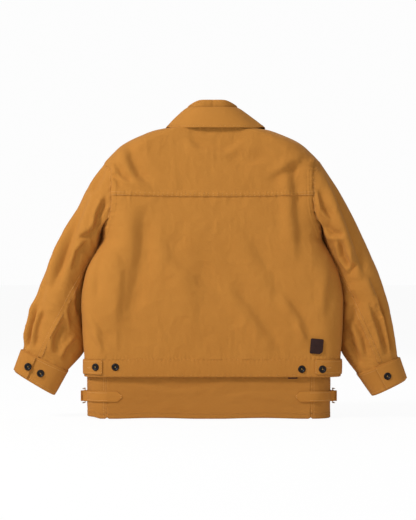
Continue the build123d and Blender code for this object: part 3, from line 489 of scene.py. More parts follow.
def canvas_material(name, color, dark, scale=1.0):
    """Woven cotton duck: crossed yarns, slubs, faint wear and a soft nap."""
    material, tree, shader = new_material(name, CLOTH_SHADER)
    place = add_node(tree, "TexCoord")
    yarns = []
    for direction in ("X", "Y"):
        values = {"Scale": YARN_SCALE * scale, "Distortion": 1.2, "Detail": 1.0}
        wave = add_node(tree, "TexWave", values, {"Vector": place.outputs["UV"]})
        wave.wave_type = "BANDS"
        wave.bands_direction = direction
        yarns.append(wave.outputs["Fac"])
    crossed = add_node(tree, "Math", links={0: yarns[0], 1: yarns[1]}, operation="MULTIPLY")
    slub = noise_node(tree, place, 420.0, detail=4.0)
    cloud = noise_node(tree, place, 7.0, detail=5.0, roughness=0.6)
    wear = add_node(tree, "Math", {1: 0.45, 2: 0.34}, {0: cloud}, "MULTIPLY_ADD")
    grain = add_node(tree, "Math", {1: 0.28}, {0: slub, 2: wear.outputs[0]}, "MULTIPLY_ADD")
    tint(tree, shader, grain.outputs[0], dark, color, 0.25, 0.75)
    height = add_node(tree, "Math", {1: 0.6}, {0: slub, 2: crossed.outputs[0]}, "MULTIPLY_ADD")
    bump(tree, shader, height.outputs[0], YARN_BUMP, YARN_DEPTH)
    return material


def thread_material():
    material, tree, shader = new_material("thread", {"Roughness": 0.7, "Specular IOR Level": 0.3})
    twist = noise_node(tree, add_node(tree, "TexCoord"), 900.0)
    tint(tree, shader, twist, (0.51, 0.235, 0.056), (0.7, 0.37, 0.12))
    return material


def leather_material():
    material, tree, shader = new_material("patch leather", {"Roughness": 0.68, "Specular IOR Level": 0.2})
    place = add_node(tree, "TexCoord")
    grain = add_node(tree, "TexVoronoi", {"Scale": 620.0}, {"Vector": place.outputs["Object"]})
    cloud = noise_node(tree, place, 90.0, detail=6.0)
    tint(tree, shader, cloud, (0.016, 0.006, 0.005), (0.04, 0.014, 0.011))
    bump(tree, shader, grain.outputs["Distance"], 0.4, 0.0003)
    return material


def metal_material(name, low, high, roughness, metallic=1.0, shine=0.5):
    """Metal or enamel whose tint and polish vary a little."""
    material, tree, shader = new_material(name, {"Metallic": metallic, "Specular IOR Level": shine})
    wear = noise_node(tree, add_node(tree, "TexCoord"), 160.0, detail=6.0)
    tint(tree, shader, wear, low, high)
    span = {"To Min": roughness * 0.75, "To Max": roughness * 1.3}
    polish = add_node(tree, "MapRange", span, {"Value": wear})
    tree.links.new(polish.outputs["Result"], shader.inputs["Roughness"])
    bump(tree, shader, wear, 0.08, 0.0002)
    return material


CANVAS_LIT = (0.455, 0.188, 0.0315)
CANVAS_DEEP = (0.37, 0.14, 0.02)
canvas = canvas_material("canvas duck", CANVAS_LIT, CANVAS_DEEP)
canvas_trim = canvas_material("canvas trim", (0.44, 0.179, 0.0295), (0.355, 0.131, 0.0185))
canvas_inner = canvas_material("canvas inner layer", (0.405, 0.164, 0.0275), (0.325, 0.12, 0.0165))
canvas_back = canvas_material("canvas wrong side", (0.4, 0.165, 0.032), (0.32, 0.12, 0.02))
# The lining's dark red-brown is partly painted shade: it follows the shade inside the sleeve slits and under
# the collar.
lining_cloth = canvas_material("lining twill", (0.3, 0.16, 0.07), (0.2, 0.1, 0.045), scale=1.6)
# Near-black brown cord for the collar's underside, the turned collar's inner face and the label; under the
# collar its darkness is partly painted shade.
dark_cloth = canvas_material("dark cord cloth", (0.05, 0.02, 0.014), (0.028, 0.011, 0.008), scale=0.6)
# Outer and inner face of a sheet.
TWO_SIDED, TRIM = [canvas, canvas_back], [canvas_trim, canvas_back]
thread = thread_material()
leather = leather_material()
nickel = metal_material("nickel", (0.72, 0.71, 0.69), (0.88, 0.87, 0.85), 0.36)
brass = metal_material("aged brass", (0.26, 0.15, 0.045), (0.46, 0.28, 0.09), 0.42)
enamel = metal_material(
    "black enamel", (0.004, 0.0025, 0.0025), (0.011, 0.007, 0.006), 0.42, metallic=0.0, shine=0.22
)


# ---------------------------------------------------------------- folds of the body
def seam_pucker(distance, along, reach, height, pitch, seed):
    """Short ripples that die away from a seam."""
    wander = value_noise(along, distance, 0.03, seed, 1)
    ripple = np.sin(2 * np.pi * along / pitch + 3.0 * wander)
    return height * np.exp(-np.abs(distance) / reach) * ripple


# Each fold: its line from behind, then its width and depth.
BACK_FOLDS = (
    (((-0.208, 0.688), (-0.198, 0.64), (-0.178, 0.6), (-0.14, 0.572)), 0.016, 0.011),
    (((-0.236, 0.63), (-0.222, 0.6), (-0.2, 0.585), (-0.19, 0.578)), 0.009, 0.0075),
    (((-0.245, 0.605), (-0.232, 0.58), (-0.222, 0.566)), 0.006, 0.004),
    (((-0.15, 0.545), (-0.168, 0.48), (-0.172, 0.4), (-0.19, 0.3), (-0.2, 0.2)), 0.027, 0.013),
    (((-0.235, 0.44), (-0.21, 0.37), (-0.215, 0.29), (-0.225, 0.2)), 0.02, 0.006),
    (((-0.125, 0.47), (-0.09, 0.4), (-0.03, 0.35), (0.03, 0.3)), 0.026, 0.007),
    (((-0.04, 0.45), (-0.02, 0.38), (-0.03, 0.3), (-0.02, 0.22)), 0.03, 0.004),
    (((0.21, 0.665), (0.2, 0.61), (0.208, 0.53), (0.216, 0.44), (0.222, 0.37)), 0.018, 0.0105),
    (((0.238, 0.65), (0.215, 0.625), (0.17, 0.6), (0.13, 0.582)), 0.013, 0.007),
    (((0.06, 0.5), (0.11, 0.42), (0.15, 0.35), (0.17, 0.28)), 0.026, 0.0055),
    (((0.04, 0.34), (0.1, 0.27), (0.15, 0.2), (0.185, 0.165)), 0.02, 0.008),
    (((0.17, 0.32), (0.215, 0.26), (0.255, 0.19)), 0.014, 0.008),
    (((0.21, 0.245), (0.235, 0.2), (0.27, 0.165)), 0.008, 0.005),
    (((-0.262, 0.42), (-0.282, 0.36), (-0.285, 0.28)), 0.014, 0.006),
    (((-0.3, 0.27), (-0.275, 0.225), (-0.255, 0.18)), 0.011, 0.0065),
    (((-0.285, 0.22), (-0.27, 0.19), (-0.262, 0.16)), 0.006, 0.004),
    (((0.3, 0.38), (0.29, 0.32), (0.28, 0.24)), 0.014, 0.006),
    (((-0.07, 0.702), (-0.03, 0.672), (0.03, 0.665), (0.08, 0.69)), 0.014, 0.005),
    (((0.02, 0.65), (0.08, 0.63), (0.15, 0.65)), 0.018, 0.004),
)
PATCH_X, PATCH_Z, PATCH_CALM = 0.255, 0.178, 0.034  # the leather patch, and the flat cloth round it
BACK_FOLD_SHARE = 0.7  # how much of each fold is left in a coat pressed nearly flat
FELL, FELL_PITCH = 0.0105, 0.0085  # width of a felled seam, and the pitch of its puckers
DENT_ROWS, DENT_REACH = (0.002, 0.0088), 0.0011  # where its rows of stitches press it down


def felled(distance, pitch_along, seed, height=0.001):
    """A doubled seam: raised over its width, dented at both rows of stitches and puckered between."""
    raised = height * smoothstep(0.0, 0.0012, distance) * smoothstep(FELL + 0.003, FELL, distance)
    dents = sum(np.exp(-(((distance - row) / DENT_REACH) ** 2)) for row in DENT_ROWS)
    wander = value_noise(pitch_along, distance * 0, 0.02, seed, 1)
    pucker = np.sin(2 * np.pi * pitch_along / FELL_PITCH + 2.5 * wander) * (0.6 + 0.4 * wander)
    between = smoothstep(-0.004, 0.003, distance) * smoothstep(FELL + 0.007, FELL - 0.002, distance)
    return raised - 0.55 * height * dents * (raised > 0) + 0.00055 * pucker * between


def back_relief(x, z):
    """How far the back stands out from its plain form."""
    relief = 0.0026 * value_noise(x, z, 0.13, 3) + 0.0015 * crease_noise(x, z * 0.8, 0.085, 5)
    relief = relief + 0.001 * crease_noise(x, z, 0.034, 15)
    relief = relief + 0.0005 * crease_noise(x, z, 0.014, 17) * (0.4 + value_noise(x, z, 0.09, 19, 1) ** 2)
    for points, width, depth in BACK_FOLDS:
        relief = relief + fold(x, z, points, width, BACK_FOLD_SHARE * depth)
    from_patch = ((x - PATCH_X) ** 2 + (z - PATCH_Z) ** 2) / PATCH_CALM**2
    relief = relief * (1 - 0.94 * np.exp(-(from_patch**2)))
    edge = smooth_table(np.clip(z, ARMPIT_Z, SHOULDER_Z), ARMHOLE_Z, ARMHOLE_X)
    beside_arm = (z > ARMPIT_Z) & (z < SHOULDER_Z)
    for side in (-1, 1):
        near = edge - side * x
        pull = seam_pucker(near, z, 0.013, 0.0008, 0.017, 21 + side)
        pull = pull + felled(near, z, 25 + side, 0.0019)
        relief = relief + np.where(beside_arm, pull, 0)
    gather = 0.5 + 0.8 * np.abs(value_noise(x, z * 0, 0.07, 31, 1))
    gather = gather * seam_pucker(z - BAND_HIGH, x, 0.008, 0.0007, 0.0088, 33)
    relief = relief + gather * (z > BAND_HIGH - 0.001)
    relief = relief + felled(z - YOKE_Z, x, 35, 0.0014) * (z > YOKE_Z - 0.0005)
    return relief + seam_pucker(z - YOKE_Z, x, 0.01, 0.0004, 0.021, 37)


# Folds beside the pockets and the welts, written for the right.
FRONT_FOLDS = (((0.24, 0.6), (0.235, 0.5), (0.25, 0.42)), ((0.27, 0.36), (0.262, 0.28), (0.27, 0.2)))


def front_relief(x, z):
    """The same in front, kept low where plackets, pockets and clasps lie."""
    relief = 0.0016 * value_noise(x, z, 0.12, 43) + 0.0005 * value_noise(x, z, 0.035, 45, 3)
    calm = smoothstep(0.2, 0.235, np.abs(x)) * 0.85 + 0.15
    relief = relief * calm
    for side in (-1, 1):
        for line in FRONT_FOLDS:
            relief = relief + fold(x, z, [(side * px, pz) for px, pz in line], 0.014, 0.004)
    relief = relief + seam_pucker(z - BAND_HIGH, x, 0.018, 0.0009, 0.02, 53) * (z > BAND_HIGH - 0.001)
    return relief


def row_heights(low, high, step=0.0026):
    """Heights from low to high, closer together where the shoulders slope."""
    dense = np.linspace(low, high, 600)
    half = smooth_table(dense, BODY_Z, BODY_X)
    slope = np.abs(np.gradient(half, dense))
    density = np.sqrt(1 + np.minimum(slope, 6.0) ** 2)
    at = np.concatenate([[0], np.cumsum((density[1:] + density[:-1]) / 2 * np.diff(dense))])
    count = max(6, int(at[-1] / step))
    return np.interp(np.linspace(0, at[-1], count), at, dense)


def body_grid(low, high, side, left, right, relief, count):
    grid = np.array([body_row(z, side, left, right, count) for z in row_heights(low, high)])
    normal, _ = turned_out(grid, False, (0, side, 0))
    facing = smoothstep(0.05, 0.6, np.abs(normal[:, :, 1]))
    lift = relief(grid[:, :, 0], grid[:, :, 2]) * (0.25 + 0.75 * facing)
    out = grid + normal * lift[:, :, None]
    # The seam under the yoke sags a little in the middle.
    sag = 0.0045 * (1 - (out[:, :, 0] / 0.25) ** 2) * np.exp(-(((out[:, :, 2] - YOKE_Z) / 0.06) ** 2))
    if side < 0:
        out[:, :, 2] -= sag
    return out, normal


pieces = []  # (object, body, slot, CAD nodes it stands for, whether it bends with a sleeve)


def add_piece(thing, body, slot_name, *nodes, bends=False):
    pieces.append((thing, body, slot_name, nodes, bends))


def cloth_piece(
    name, grid, thick, materials, body="coat", slot_name="canvas", nodes=None, bends=False, **form
):
    """A sheet on a body, in place of the CAD nodes given or else of the node of its own name."""
    thing = cloth(name, grid, thick, materials, **form)
    add_piece(thing, body, slot_name, *([name] if nodes is None else nodes), bends=bends)


thread_parts = {}


def sew(body, points, normals, **kind):
    thread_parts.setdefault(body, []).extend(stitches(points, normals, **kind))


def double_row(body, grid, normal, row, gap=0.0065, first=0.0018, direction=1):
    """Two rows of stitches beside a grid row; direction says on which side of it. Without a gap
    both fall on one line, which is then drawn twice."""
    step = np.linalg.norm(grid[row + direction] - grid[row], axis=1).mean()
    for away in (first, first + gap):
        spot = row + direction * away / step
        low = int(np.floor(spot))
        mix = spot - low
        line = grid[low] * (1 - mix) + grid[low + 1] * mix
        sew(body, line, normal[low])


# ---------------------------------------------------------------- back, yoke and fronts
BACK_COLS, FRONT_COLS = 290, 110
TUCK = 0.002  # how far the panels run down behind the waistband
back_grid, _ = body_grid(BAND_HIGH - TUCK, YOKE_Z + 0.001, -1, -1, 1, back_relief, BACK_COLS)
yoke_grid, yoke_normal = body_grid(YOKE_Z, NECK_TOP, -1, -1, 1, back_relief, BACK_COLS)
# The yoke is lapped over the back panel.
LAP_GAP, LAP_RISE, LAP_HEIGHT = 0.0006, 0.0011, 0.013
lap = LAP_GAP + LAP_RISE * smoothstep(LAP_HEIGHT, 0.0, yoke_grid[:, :, 2] - YOKE_Z)
yoke_grid = yoke_grid + yoke_normal * lap[:, :, None]
cloth_piece("back_panel", back_grid, CANVAS, TWO_SIDED)
cloth_piece("back_yoke", yoke_grid, CANVAS, TWO_SIDED)
double_row("coat", yoke_grid, yoke_normal, 0)

for name, left, right in (("left_front_panel", -1.0, -0.0003), ("right_front_panel", 0.0003, 1.0)):
    grid, _ = body_grid(BAND_HIGH - TUCK, NECK_TOP, 1, left, right, front_relief, FRONT_COLS)
    cloth_piece(name, grid, CANVAS, TWO_SIDED)

# ---------------------------------------------------------------- loops round the coat
def on_loop(half_width, half_depth, radius, s, gap=0.0):
    """Point and outward direction on a rounded oblong; s runs from the middle of the back to the right."""
    s = np.asarray(s, float)
    sign, t = np.sign(s), np.abs(s)
    flat, turn, side = half_width - radius, radius * np.pi / 2, 2 * (half_depth - radius)
    a = np.clip((t - flat) / radius, 0, np.pi / 2)
    b = np.clip(t - flat - turn, 0, side)
    c = np.clip((t - flat - turn - side) / radius, 0, np.pi / 2)
    d = np.clip(t - flat - 2 * turn - side, 0, None)
    out_x = np.sin(a) * np.cos(c)
    out_y = -np.cos(a) * (c <= 0) + np.sin(c)
    x = np.minimum(t, flat) + radius * np.sin(a) - radius * (1 - np.cos(c)) - d
    y = -half_depth + radius * (1 - np.cos(a)) + b + radius * np.sin(c)
    points = np.stack([sign * (x + out_x * gap), MID_Y + y + out_y * gap], -1)
    return points, np.stack([sign * out_x, out_y], -1)


def loop_reach(half_width, half_depth, radius):
    """Half the length round a rounded oblong."""
    return 2 * (half_width - radius) + np.pi * radius + 2 * (half_depth - radius)


def loop_s(half_width, radius, x):
    """Where x on the back lies along the loop."""
    past = np.clip((abs(x) - (half_width - radius)) / radius, 0, 1)
    return np.sign(x) * (min(abs(x), half_width - radius) + radius * np.arcsin(past))


def wrapped(half_width, half_depth, radius, s_values, z_values, relief, gap=0.0):
    """A grid round the coat: s along the columns and z along the rows, both of which may be grids."""
    s_grid = np.broadcast_to(np.asarray(s_values, float), (len(z_values), np.shape(s_values)[-1]))
    z_grid = np.broadcast_to(np.asarray(z_values, float).reshape(len(z_values), -1), s_grid.shape)
    flat, out = on_loop(half_width, half_depth, radius, s_grid, gap)
    grid = with_z(flat + out * relief(s_grid, z_grid)[..., None], z_grid)
    grid[..., 0] += LOWER_X if half_width == HALF_HEM else 0.0
    return grid, with_z(out, 0.0)


CORNER = 0.052
BAND = (HALF_BAND, BAND_DEPTH, CORNER)
HEM = (HALF_HEM, HEM_DEPTH, CORNER)


# ---------------------------------------------------------------- waistband
def band_relief(s, z):
    puff = 0.0012 * np.sin(np.pi * np.clip((z - BAND_LOW) / (BAND_HIGH - BAND_LOW), 0, 1))
    ripple = seam_pucker(z - BAND_HIGH, s, 0.01, 0.0005, 0.0098, 61)
    ripple = ripple + seam_pucker(z - BAND_LOW, s, 0.008, 0.0004, 0.0125, 63)
    return puff + ripple + 0.0006 * value_noise(s, z, 0.05, 65, 3)


BAND_ROWS, BAND_COLS = 17, 620
reach = loop_reach(*BAND) - 0.0004
band_s, band_z = np.linspace(-reach, reach, BAND_COLS), np.linspace(BAND_LOW, BAND_HIGH + 0.0006, BAND_ROWS)
band_grid, band_normal = wrapped(*BAND, band_s, band_z, band_relief, gap=0.0008)
cloth_piece("waistband", band_grid, BAND_THICK, TRIM)
double_row("coat", band_grid, band_normal, 0, gap=0.0, first=0.004)
double_row("coat", band_grid, band_normal, BAND_ROWS - 1, gap=0.0, first=0.003, direction=-1)

# ---------------------------------------------------------------- inner layer below the waist
SKIRT_SEAM, SKIRT_FRONT_SEAM, SKIRT_TOP = 0.25, 0.205, 0.15


def skirt_relief(s, z):
    low = smoothstep(0.0, 0.05, z)
    level = 0.0011 * value_noise(s * 0.35, z, 0.03, 71, 3) + 0.0015 * value_noise(s, z, 0.16, 73)
    level = level + 0.0007 * crease_noise(s * 0.5, z, 0.02, 77)
    folds = fold(s, z, ((-0.19, 0.09), (-0.08, 0.075), (0.03, 0.085)), 0.009, 0.0018)
    folds = folds + fold(s, z, ((0.02, 0.06), (0.1, 0.07), (0.2, 0.06)), 0.01, 0.0016)
    seam = seam_pucker(np.abs(np.abs(s) - SKIRT_SEAM), z, 0.008, 0.0006, 0.013, 75)
    return (level + folds) * (0.4 + 0.6 * low) + seam


def hem_height(s):
    """The hem dips a little between the seams and is cut up at the left corner."""
    dip = 0.0012 * (1 - np.cos(s * 24))
    corner = 0.004 * smoothstep(-0.262, -0.29, s) * smoothstep(-0.36, -0.33, s)
    notch = 0.004 * np.exp(-(((np.abs(s) - SKIRT_SEAM) / 0.003) ** 2))
    return dip + corner + notch


def skirt_panel(name, low_s, high_s, count, gap=0.0):
    s_values = np.linspace(low_s, high_s, count)
    share = np.linspace(0, 1, 44)[:, None]
    z_values = hem_height(s_values)[None] * (1 - share) + SKIRT_TOP * share
    grid, normal = wrapped(*HEM, s_values, z_values, skirt_relief, gap)
    cloth_piece(name, grid, CANVAS, [canvas_inner, canvas_back], slot_name="inner_canvas")
    double_row("coat", grid, normal, 0, gap=0.0, first=0.011)
    return grid, normal


hem_reach = loop_reach(*HEM)
front_s = hem_reach - SKIRT_FRONT_SEAM
skirt_panel("inner_back", -SKIRT_SEAM, SKIRT_SEAM, 170, gap=0.0006)
for word, side in SIDES:
    ends = sorted((side * (SKIRT_SEAM - 0.0005), side * front_s))
    grid, normal = skirt_panel(f"inner_{word}_side", *ends, 80)
    for step in (1, 3):
        col = step if side > 0 else -1 - step
        sew("coat", grid[:, col], normal[:, col])
    ends = sorted((side * (front_s - 0.0005), side * (hem_reach - 0.0005)))
    skirt_panel(f"inner_{word}_front", *ends, 70, gap=0.0006)


# ---------------------------------------------------------------- sleeves
def body_depth(z, x):
    half, depth, radius = body_section(z)
    radius = min(radius, depth - 0.0005)
    past = np.clip(abs(x) - (half - radius), 0, radius)
    return depth - radius + np.sqrt(radius**2 - past**2)


def armhole_ring(count):
    back_side = []
    for z in np.linspace(SHOULDER_Z, ARMPIT_Z, 260):
        x, y, _ = body_row(z, -1, -1, 1, 2)[0]
        back_side.append((x, y, z))
    front_side = [(x, 2 * MID_Y - y, z) for x, y, z in back_side[::-1]]
    return resample(back_side + front_side, count, closed=True)


SLEEVE_POWER, COLLAR_POWER = 2.35, 2.5  # how square the ovals are; 2 would be an ellipse


def oval(angle, power):
    """Cosine and sine of a squared-off oval."""
    c, s = np.cos(angle), np.sin(angle)
    return np.sign(c) * np.abs(c) ** (2 / power), np.sign(s) * np.abs(s) ** (2 / power)


def sleeve_ring(outer, inner, half_depth, count, grow=0.0, forward=0.0):
    """An oval across the sleeve; forward swings its inner edge to the front, past the body's side."""
    outer, inner = np.array(outer), np.array(inner)
    centre, axis = (outer + inner) / 2, (outer - inner) / 2
    axis = axis * (1 + grow / np.linalg.norm(axis))
    angle = np.linspace(0, 2 * np.pi, 600, endpoint=False)
    c, s = oval(angle, SLEEVE_POWER)
    y = MID_Y - (half_depth + grow) * s + forward * smoothstep(0.2, -1, c)
    ring = np.stack([centre[0] + axis[0] * c, y, centre[1] + axis[1] * c], 1)
    return resample(ring, count, closed=True)


def through_rings(keys, count):
    """Rows on smooth tracks through key rings."""
    keys = np.array(keys)
    centres = keys.mean(1)
    at = travelled(centres)
    tangents = np.empty_like(keys)
    tangents[1:-1] = (keys[2:] - keys[:-2]) / (at[2:] - at[:-2])[:, None, None]
    tangents[0] = (keys[1] - keys[0]) / (at[1] - at[0])
    tangents[-1] = (keys[-1] - keys[-2]) / (at[-1] - at[-2])
    rows = []
    for x in np.linspace(0, at[-1], count):
        i = int(np.clip(np.searchsorted(at, x) - 1, 0, len(at) - 2))
        h = at[i + 1] - at[i]
        t = (x - at[i]) / h
        rows.append(hermite(t, h, keys[i], tangents[i], keys[i + 1], tangents[i + 1]))
    return np.array(rows)


SLEEVE_COLS, SLEEVE_ROWS = 190, 250
SLEEVE_LENGTH = 0.62  # about, along its middle
SLEEVE_FOLD_SHARE = 1.25  # how much deeper than written the folds behind are
SLEEVE_FOLDS = {
    "left": (
        (((-0.3, 0.6), (-0.33, 0.53), (-0.35, 0.46), (-0.37, 0.39), (-0.405, 0.29)), 0.014, 0.0115),
        (((-0.262, 0.625), (-0.285, 0.585), (-0.3, 0.55)), 0.009, 0.006),
        (((-0.258, 0.55), (-0.28, 0.5), (-0.29, 0.46)), 0.008, 0.0065),
        (((-0.27, 0.49), (-0.3, 0.455), (-0.335, 0.44)), 0.008, 0.0055),
        (((-0.3, 0.44), (-0.33, 0.41), (-0.345, 0.36)), 0.008, 0.005),
        (((-0.33, 0.33), (-0.335, 0.29), (-0.33, 0.25)), 0.008, 0.007),
        (((-0.345, 0.3), (-0.352, 0.26), (-0.345, 0.22)), 0.007, 0.005),
        (((-0.43, 0.305), (-0.449, 0.23), (-0.459, 0.165)), 0.0045, 0.011),
        (((-0.415, 0.28), (-0.43, 0.22), (-0.438, 0.165)), 0.007, 0.0055),
        (((-0.36, 0.25), (-0.385, 0.2), (-0.39, 0.155)), 0.009, 0.006),
        (((-0.33, 0.2), (-0.355, 0.17), (-0.37, 0.14)), 0.007, 0.005),
        (((-0.4, 0.36), (-0.425, 0.3), (-0.43, 0.24)), 0.011, 0.006),
    ),
    "right": (
        (((0.275, 0.62), (0.305, 0.56), (0.33, 0.49), (0.355, 0.42), (0.385, 0.33)), 0.014, 0.0105),
        (((0.258, 0.57), (0.272, 0.52), (0.3, 0.485)), 0.008, 0.006),
        (((0.27, 0.48), (0.295, 0.455), (0.33, 0.45)), 0.008, 0.0055),
        (((0.31, 0.45), (0.322, 0.4), (0.345, 0.36)), 0.007, 0.007),
        (((0.345, 0.42), (0.352, 0.385), (0.338, 0.35)), 0.007, 0.0055),
        (((0.335, 0.32), (0.35, 0.28), (0.34, 0.23)), 0.009, 0.006),
        (((0.405, 0.315), (0.425, 0.24), (0.447, 0.15)), 0.0045, 0.011),
        (((0.385, 0.29), (0.41, 0.22), (0.43, 0.15)), 0.007, 0.006),
        (((0.345, 0.25), (0.37, 0.2), (0.385, 0.14)), 0.009, 0.006),
        (((0.33, 0.2), (0.35, 0.165), (0.365, 0.13)), 0.007, 0.005),
        (((0.385, 0.36), (0.41, 0.3), (0.42, 0.24)), 0.011, 0.006),
    ),
}
SLEEVE_SEAMS = {
    "left": ((-0.268, 0.446), (-0.332, 0.345), (-0.405, 0.208), (-0.431, 0.151)),
    "right": ((0.268, 0.44), (0.33, 0.335), (0.385, 0.215), (0.4175, 0.139)),
}


# A seam's track mixes this many nearest points of the sleeve, and ends where none is in reach.
NEAREST, TRACK_REACH, TRACK_BLUR = 8, 0.006, 4e-6


def surface_track(grid, normal, line):
    """Points and normals on the back of a sleeve nearest to a line of (x, z) points."""
    flat = np.stack([grid[:, :, 0], grid[:, :, 2]], -1)
    flat[grid[:, :, 1] > MID_Y] = 9.0
    flat, points, ups = flat.reshape(-1, 2), grid.reshape(-1, 3), normal.reshape(-1, 3)
    track = []
    for spot in line:
        distance = np.sum((flat - spot) ** 2, -1)
        near = np.argpartition(distance, NEAREST)[:NEAREST]
        if distance[near].min() > TRACK_REACH**2:
            continue
        weight = 1 / (distance[near] + TRACK_BLUR)
        weight /= weight.sum()
        mixed = [(values[near] * weight[:, None]).sum(0) for values in (points, ups)]
        track.append(np.concatenate(mixed))
    track = np.array(track)
    for _ in range(3):
        track[1:-1] = (track[:-2] + 2 * track[1:-1] + track[2:]) / 4
    return track[:, :3], track[:, 3:]


# Across a felled seam: the share of its width, and the share of its height there.
SEAM_STATIONS = ((-0.02, -0.3), (0.04, 0.9), (0.2, 0.75), (0.5, 1.0), (0.8, 0.75), (0.96, 0.9), (1.02, -0.3))


def seam_strip(track, ups, turn, width=FELL, high=0.0011):
    """A felled seam lying along a track: a flat ridge, dented at its two rows of stitches."""
    along, ups = unit(np.gradient(track, axis=0)), unit(ups)
    across = np.cross(ups, along) * turn
    at = np.arange(len(track)) * 0.9
    columns = []
    for share, rise in SEAM_STATIONS:
        pucker = 0.00025 * np.sin(at + 4 * share) * (rise > 0)
        columns.append(track + across * (share * width) + ups * (rise * high + pucker)[:, None])
    strip = np.stack(columns, 1)
    return strip, np.repeat(ups[:, None], len(SEAM_STATIONS), 1)


def sleeve_form(word, side):
    """A sleeve without its folds, in rings from the armhole to the cuff."""
    keys = [armhole_ring(SLEEVE_COLS)]
    for section, forward in zip(SLEEVES[word], SLEEVE_FORWARD):
        keys.append(sleeve_ring(*section, SLEEVE_COLS, forward=forward))
    grid = through_rings(keys, SLEEVE_ROWS)
    return (grid * np.array([-1, 1, 1]))[:, ::-1] if side > 0 else grid


def sleeve_relief(word, side, grid, normal):
    """How far a sleeve stands out from its plain form."""
    x, z = grid[:, :, 0], grid[:, :, 2]
    behind = smoothstep(0.012, -0.012, grid[:, :, 1] - MID_Y)
    run = np.linspace(0, 1, SLEEVE_ROWS)[:, None]
    turn = np.linspace(0, 2 * np.pi, SLEEVE_COLS, endpoint=False)[None]
    u, v = np.cos(turn) * 0.055 + side, np.sin(turn) * 0.055 + 0.65 * run
    relief = 0.0026 * value_noise(u, v, 0.07, 81 + side) + 0.0008 * value_noise(u, v, 0.022, 91 + side, 3)
    relief = relief + 0.0014 * crease_noise(u, v, 0.05, 83 + side)
    relief = relief + 0.0008 * crease_noise(u, v, 0.021, 85 + side) * smoothstep(0.3, 0.8, run)
    for points, width, depth in SLEEVE_FOLDS[word]:
        relief = relief + behind * fold(x, z, points, width, SLEEVE_FOLD_SHARE * depth)
        in_front = [(px + 0.012 * side, pz - 0.02) for px, pz in points]
        relief = relief + (1 - behind) * fold(x, z, in_front, width * 1.2, depth * 0.8)
    ends = smoothstep(0.0, 0.05, run) * smoothstep(1.0, 0.96, run)
    relief = relief * ends * (0.3 + 0.7 * smoothstep(0.05, 0.6, np.abs(normal[:, :, 1])))
    # Puckers at the armhole and gathers above the cuff.
    ripple = np.sin(turn * 21 + 2 * value_noise(u, v, 0.03, 97))
    relief = relief + 0.0011 * np.exp(-run * SLEEVE_LENGTH / 0.014) * ripple
    return relief + 0.001 * np.exp(-(1 - run) * SLEEVE_LENGTH / 0.01) * np.sin(turn * 13 + 1.0)


def sew_ring(body, grid, normal, row):
    """Stitches all round one row of a closed grid."""
    sew(body, np.vstack([grid[row], grid[row, :1]]), np.vstack([normal[row], normal[row, :1]]))


for word, side in SIDES:
    body = f"{word}_sleeve"
    grid = sleeve_form(word, side)
    normal, _ = turned_out(grid, True, outward_from_rings(grid))
    grid = grid + normal * sleeve_relief(word, side, grid, normal)[:, :, None]
    form = {"outward": outward_from_rings(grid), "wrap": True, "bends": True}
    nodes = [f"{word}_top_sleeve", f"{word}_under_sleeve"]
    cloth_piece(body, grid, CANVAS, TWO_SIDED, body, nodes=nodes, **form)
    normal, _ = turned_out(grid, True, outward_from_rings(grid))
    # Stitching beside the armhole, on the sleeve, and two rows along the seam down its back.
    for row in (1, 3):
        sew_ring(body, grid, normal, row)
    track, ups = surface_track(grid, normal, resample(np.array(SLEEVE_SEAMS[word]), 150))
    strip, strip_up = seam_strip(track, ups, -side)
    form = {"outward": OUT_BEHIND, "bends": True}
    cloth_piece(f"{word}_sleeve_seam", strip, SEAM_THICK, TWO_SIDED, body, nodes=[], **form)
    for column in (1, -2):
        sew(body, strip[:, column], strip_up[:, column])

# ---------------------------------------------------------------- cuffs
CUFF_GROW = 0.0024  # how much fuller than the sleeve's end a cuff is
CUFF_ROWS, FLAP_ROWS, FLAP_TURN = 22, 24, 480
FLAP_START, SLIT_COLUMN = -46, {"left": 92, "right": 134}


def cuff_rows(word, side, count, columns):
    """Rings from the sleeve's end to the cuff's."""
    top, end = (sleeve_ring(*ring, columns, grow=CUFF_GROW) for ring in (SLEEVES[word][-1], CUFF_ENDS[word]))
    share = np.linspace(-0.02, 1, count)[:, None, None]
    rows = top[None] * (1 - share) + end[None] * share
    return rows * np.array([-side, 1, 1]) if side > 0 else rows


for word, side in SIDES:
    body = f"{word}_sleeve"
    base = cuff_rows(word, side, CUFF_ROWS, SLEEVE_COLS)
    if side > 0:
        base = base[:, ::-1]
    out = unit(outward_from_rings(base))
    wave = 0.0006 * value_noise(base[:, :, 0] * 1.3 + base[:, :, 1], base[:, :, 2], 0.03, 101 + side, 3)
    base = base + out * wave[:, :, None]
    cloth_piece(f"{word}_cuff", base, CUFF_THICK, TRIM, body, outward=outward_from_rings(base), wrap=True)
    for row in (2, CUFF_ROWS - 3):
        sew_ring(body, base, out, row)
    # The overlap lies on the back, from the outer edge to the slit, and melts into the cuff round the edge.
    over = cuff_rows(word, side, FLAP_ROWS, FLAP_TURN)
    middle = over.mean(1, keepdims=True)
    columns = np.arange(FLAP_START, SLIT_COLUMN[word])
    flap = over[:, columns % FLAP_TURN]
    away = unit(flap - middle)
    share = np.arange(len(columns)) / (len(columns) - 1)
    lift = 0.0002 + 0.0037 * smoothstep(0.0, 0.3, share)
    flap = flap + away * lift[None, :, None]
    if side > 0:
        flap, away = flap[:, ::-1], away[:, ::-1]
    sheet = flap[1:-1]
    cloth_piece(f"{word}_cuff_flap", sheet, CUFF_FLAP_THICK, TRIM, body, outward=sheet - middle[1:-1])
    edge = -3 if side < 0 else 2
    sew(body, flap[2:-2, edge], away[2:-2, edge])

# ---------------------------------------------------------------- collars
STAND = (0.066, 0.05, 0.046)
STAND_LOW, STAND_HIGH, STAND_SLOPE = 0.694, 0.7835, 0.287
STAND_TAPER, STAND_OPENING = 0.06, 0.012
STAND_ROWS, STAND_COLS = 34, 150


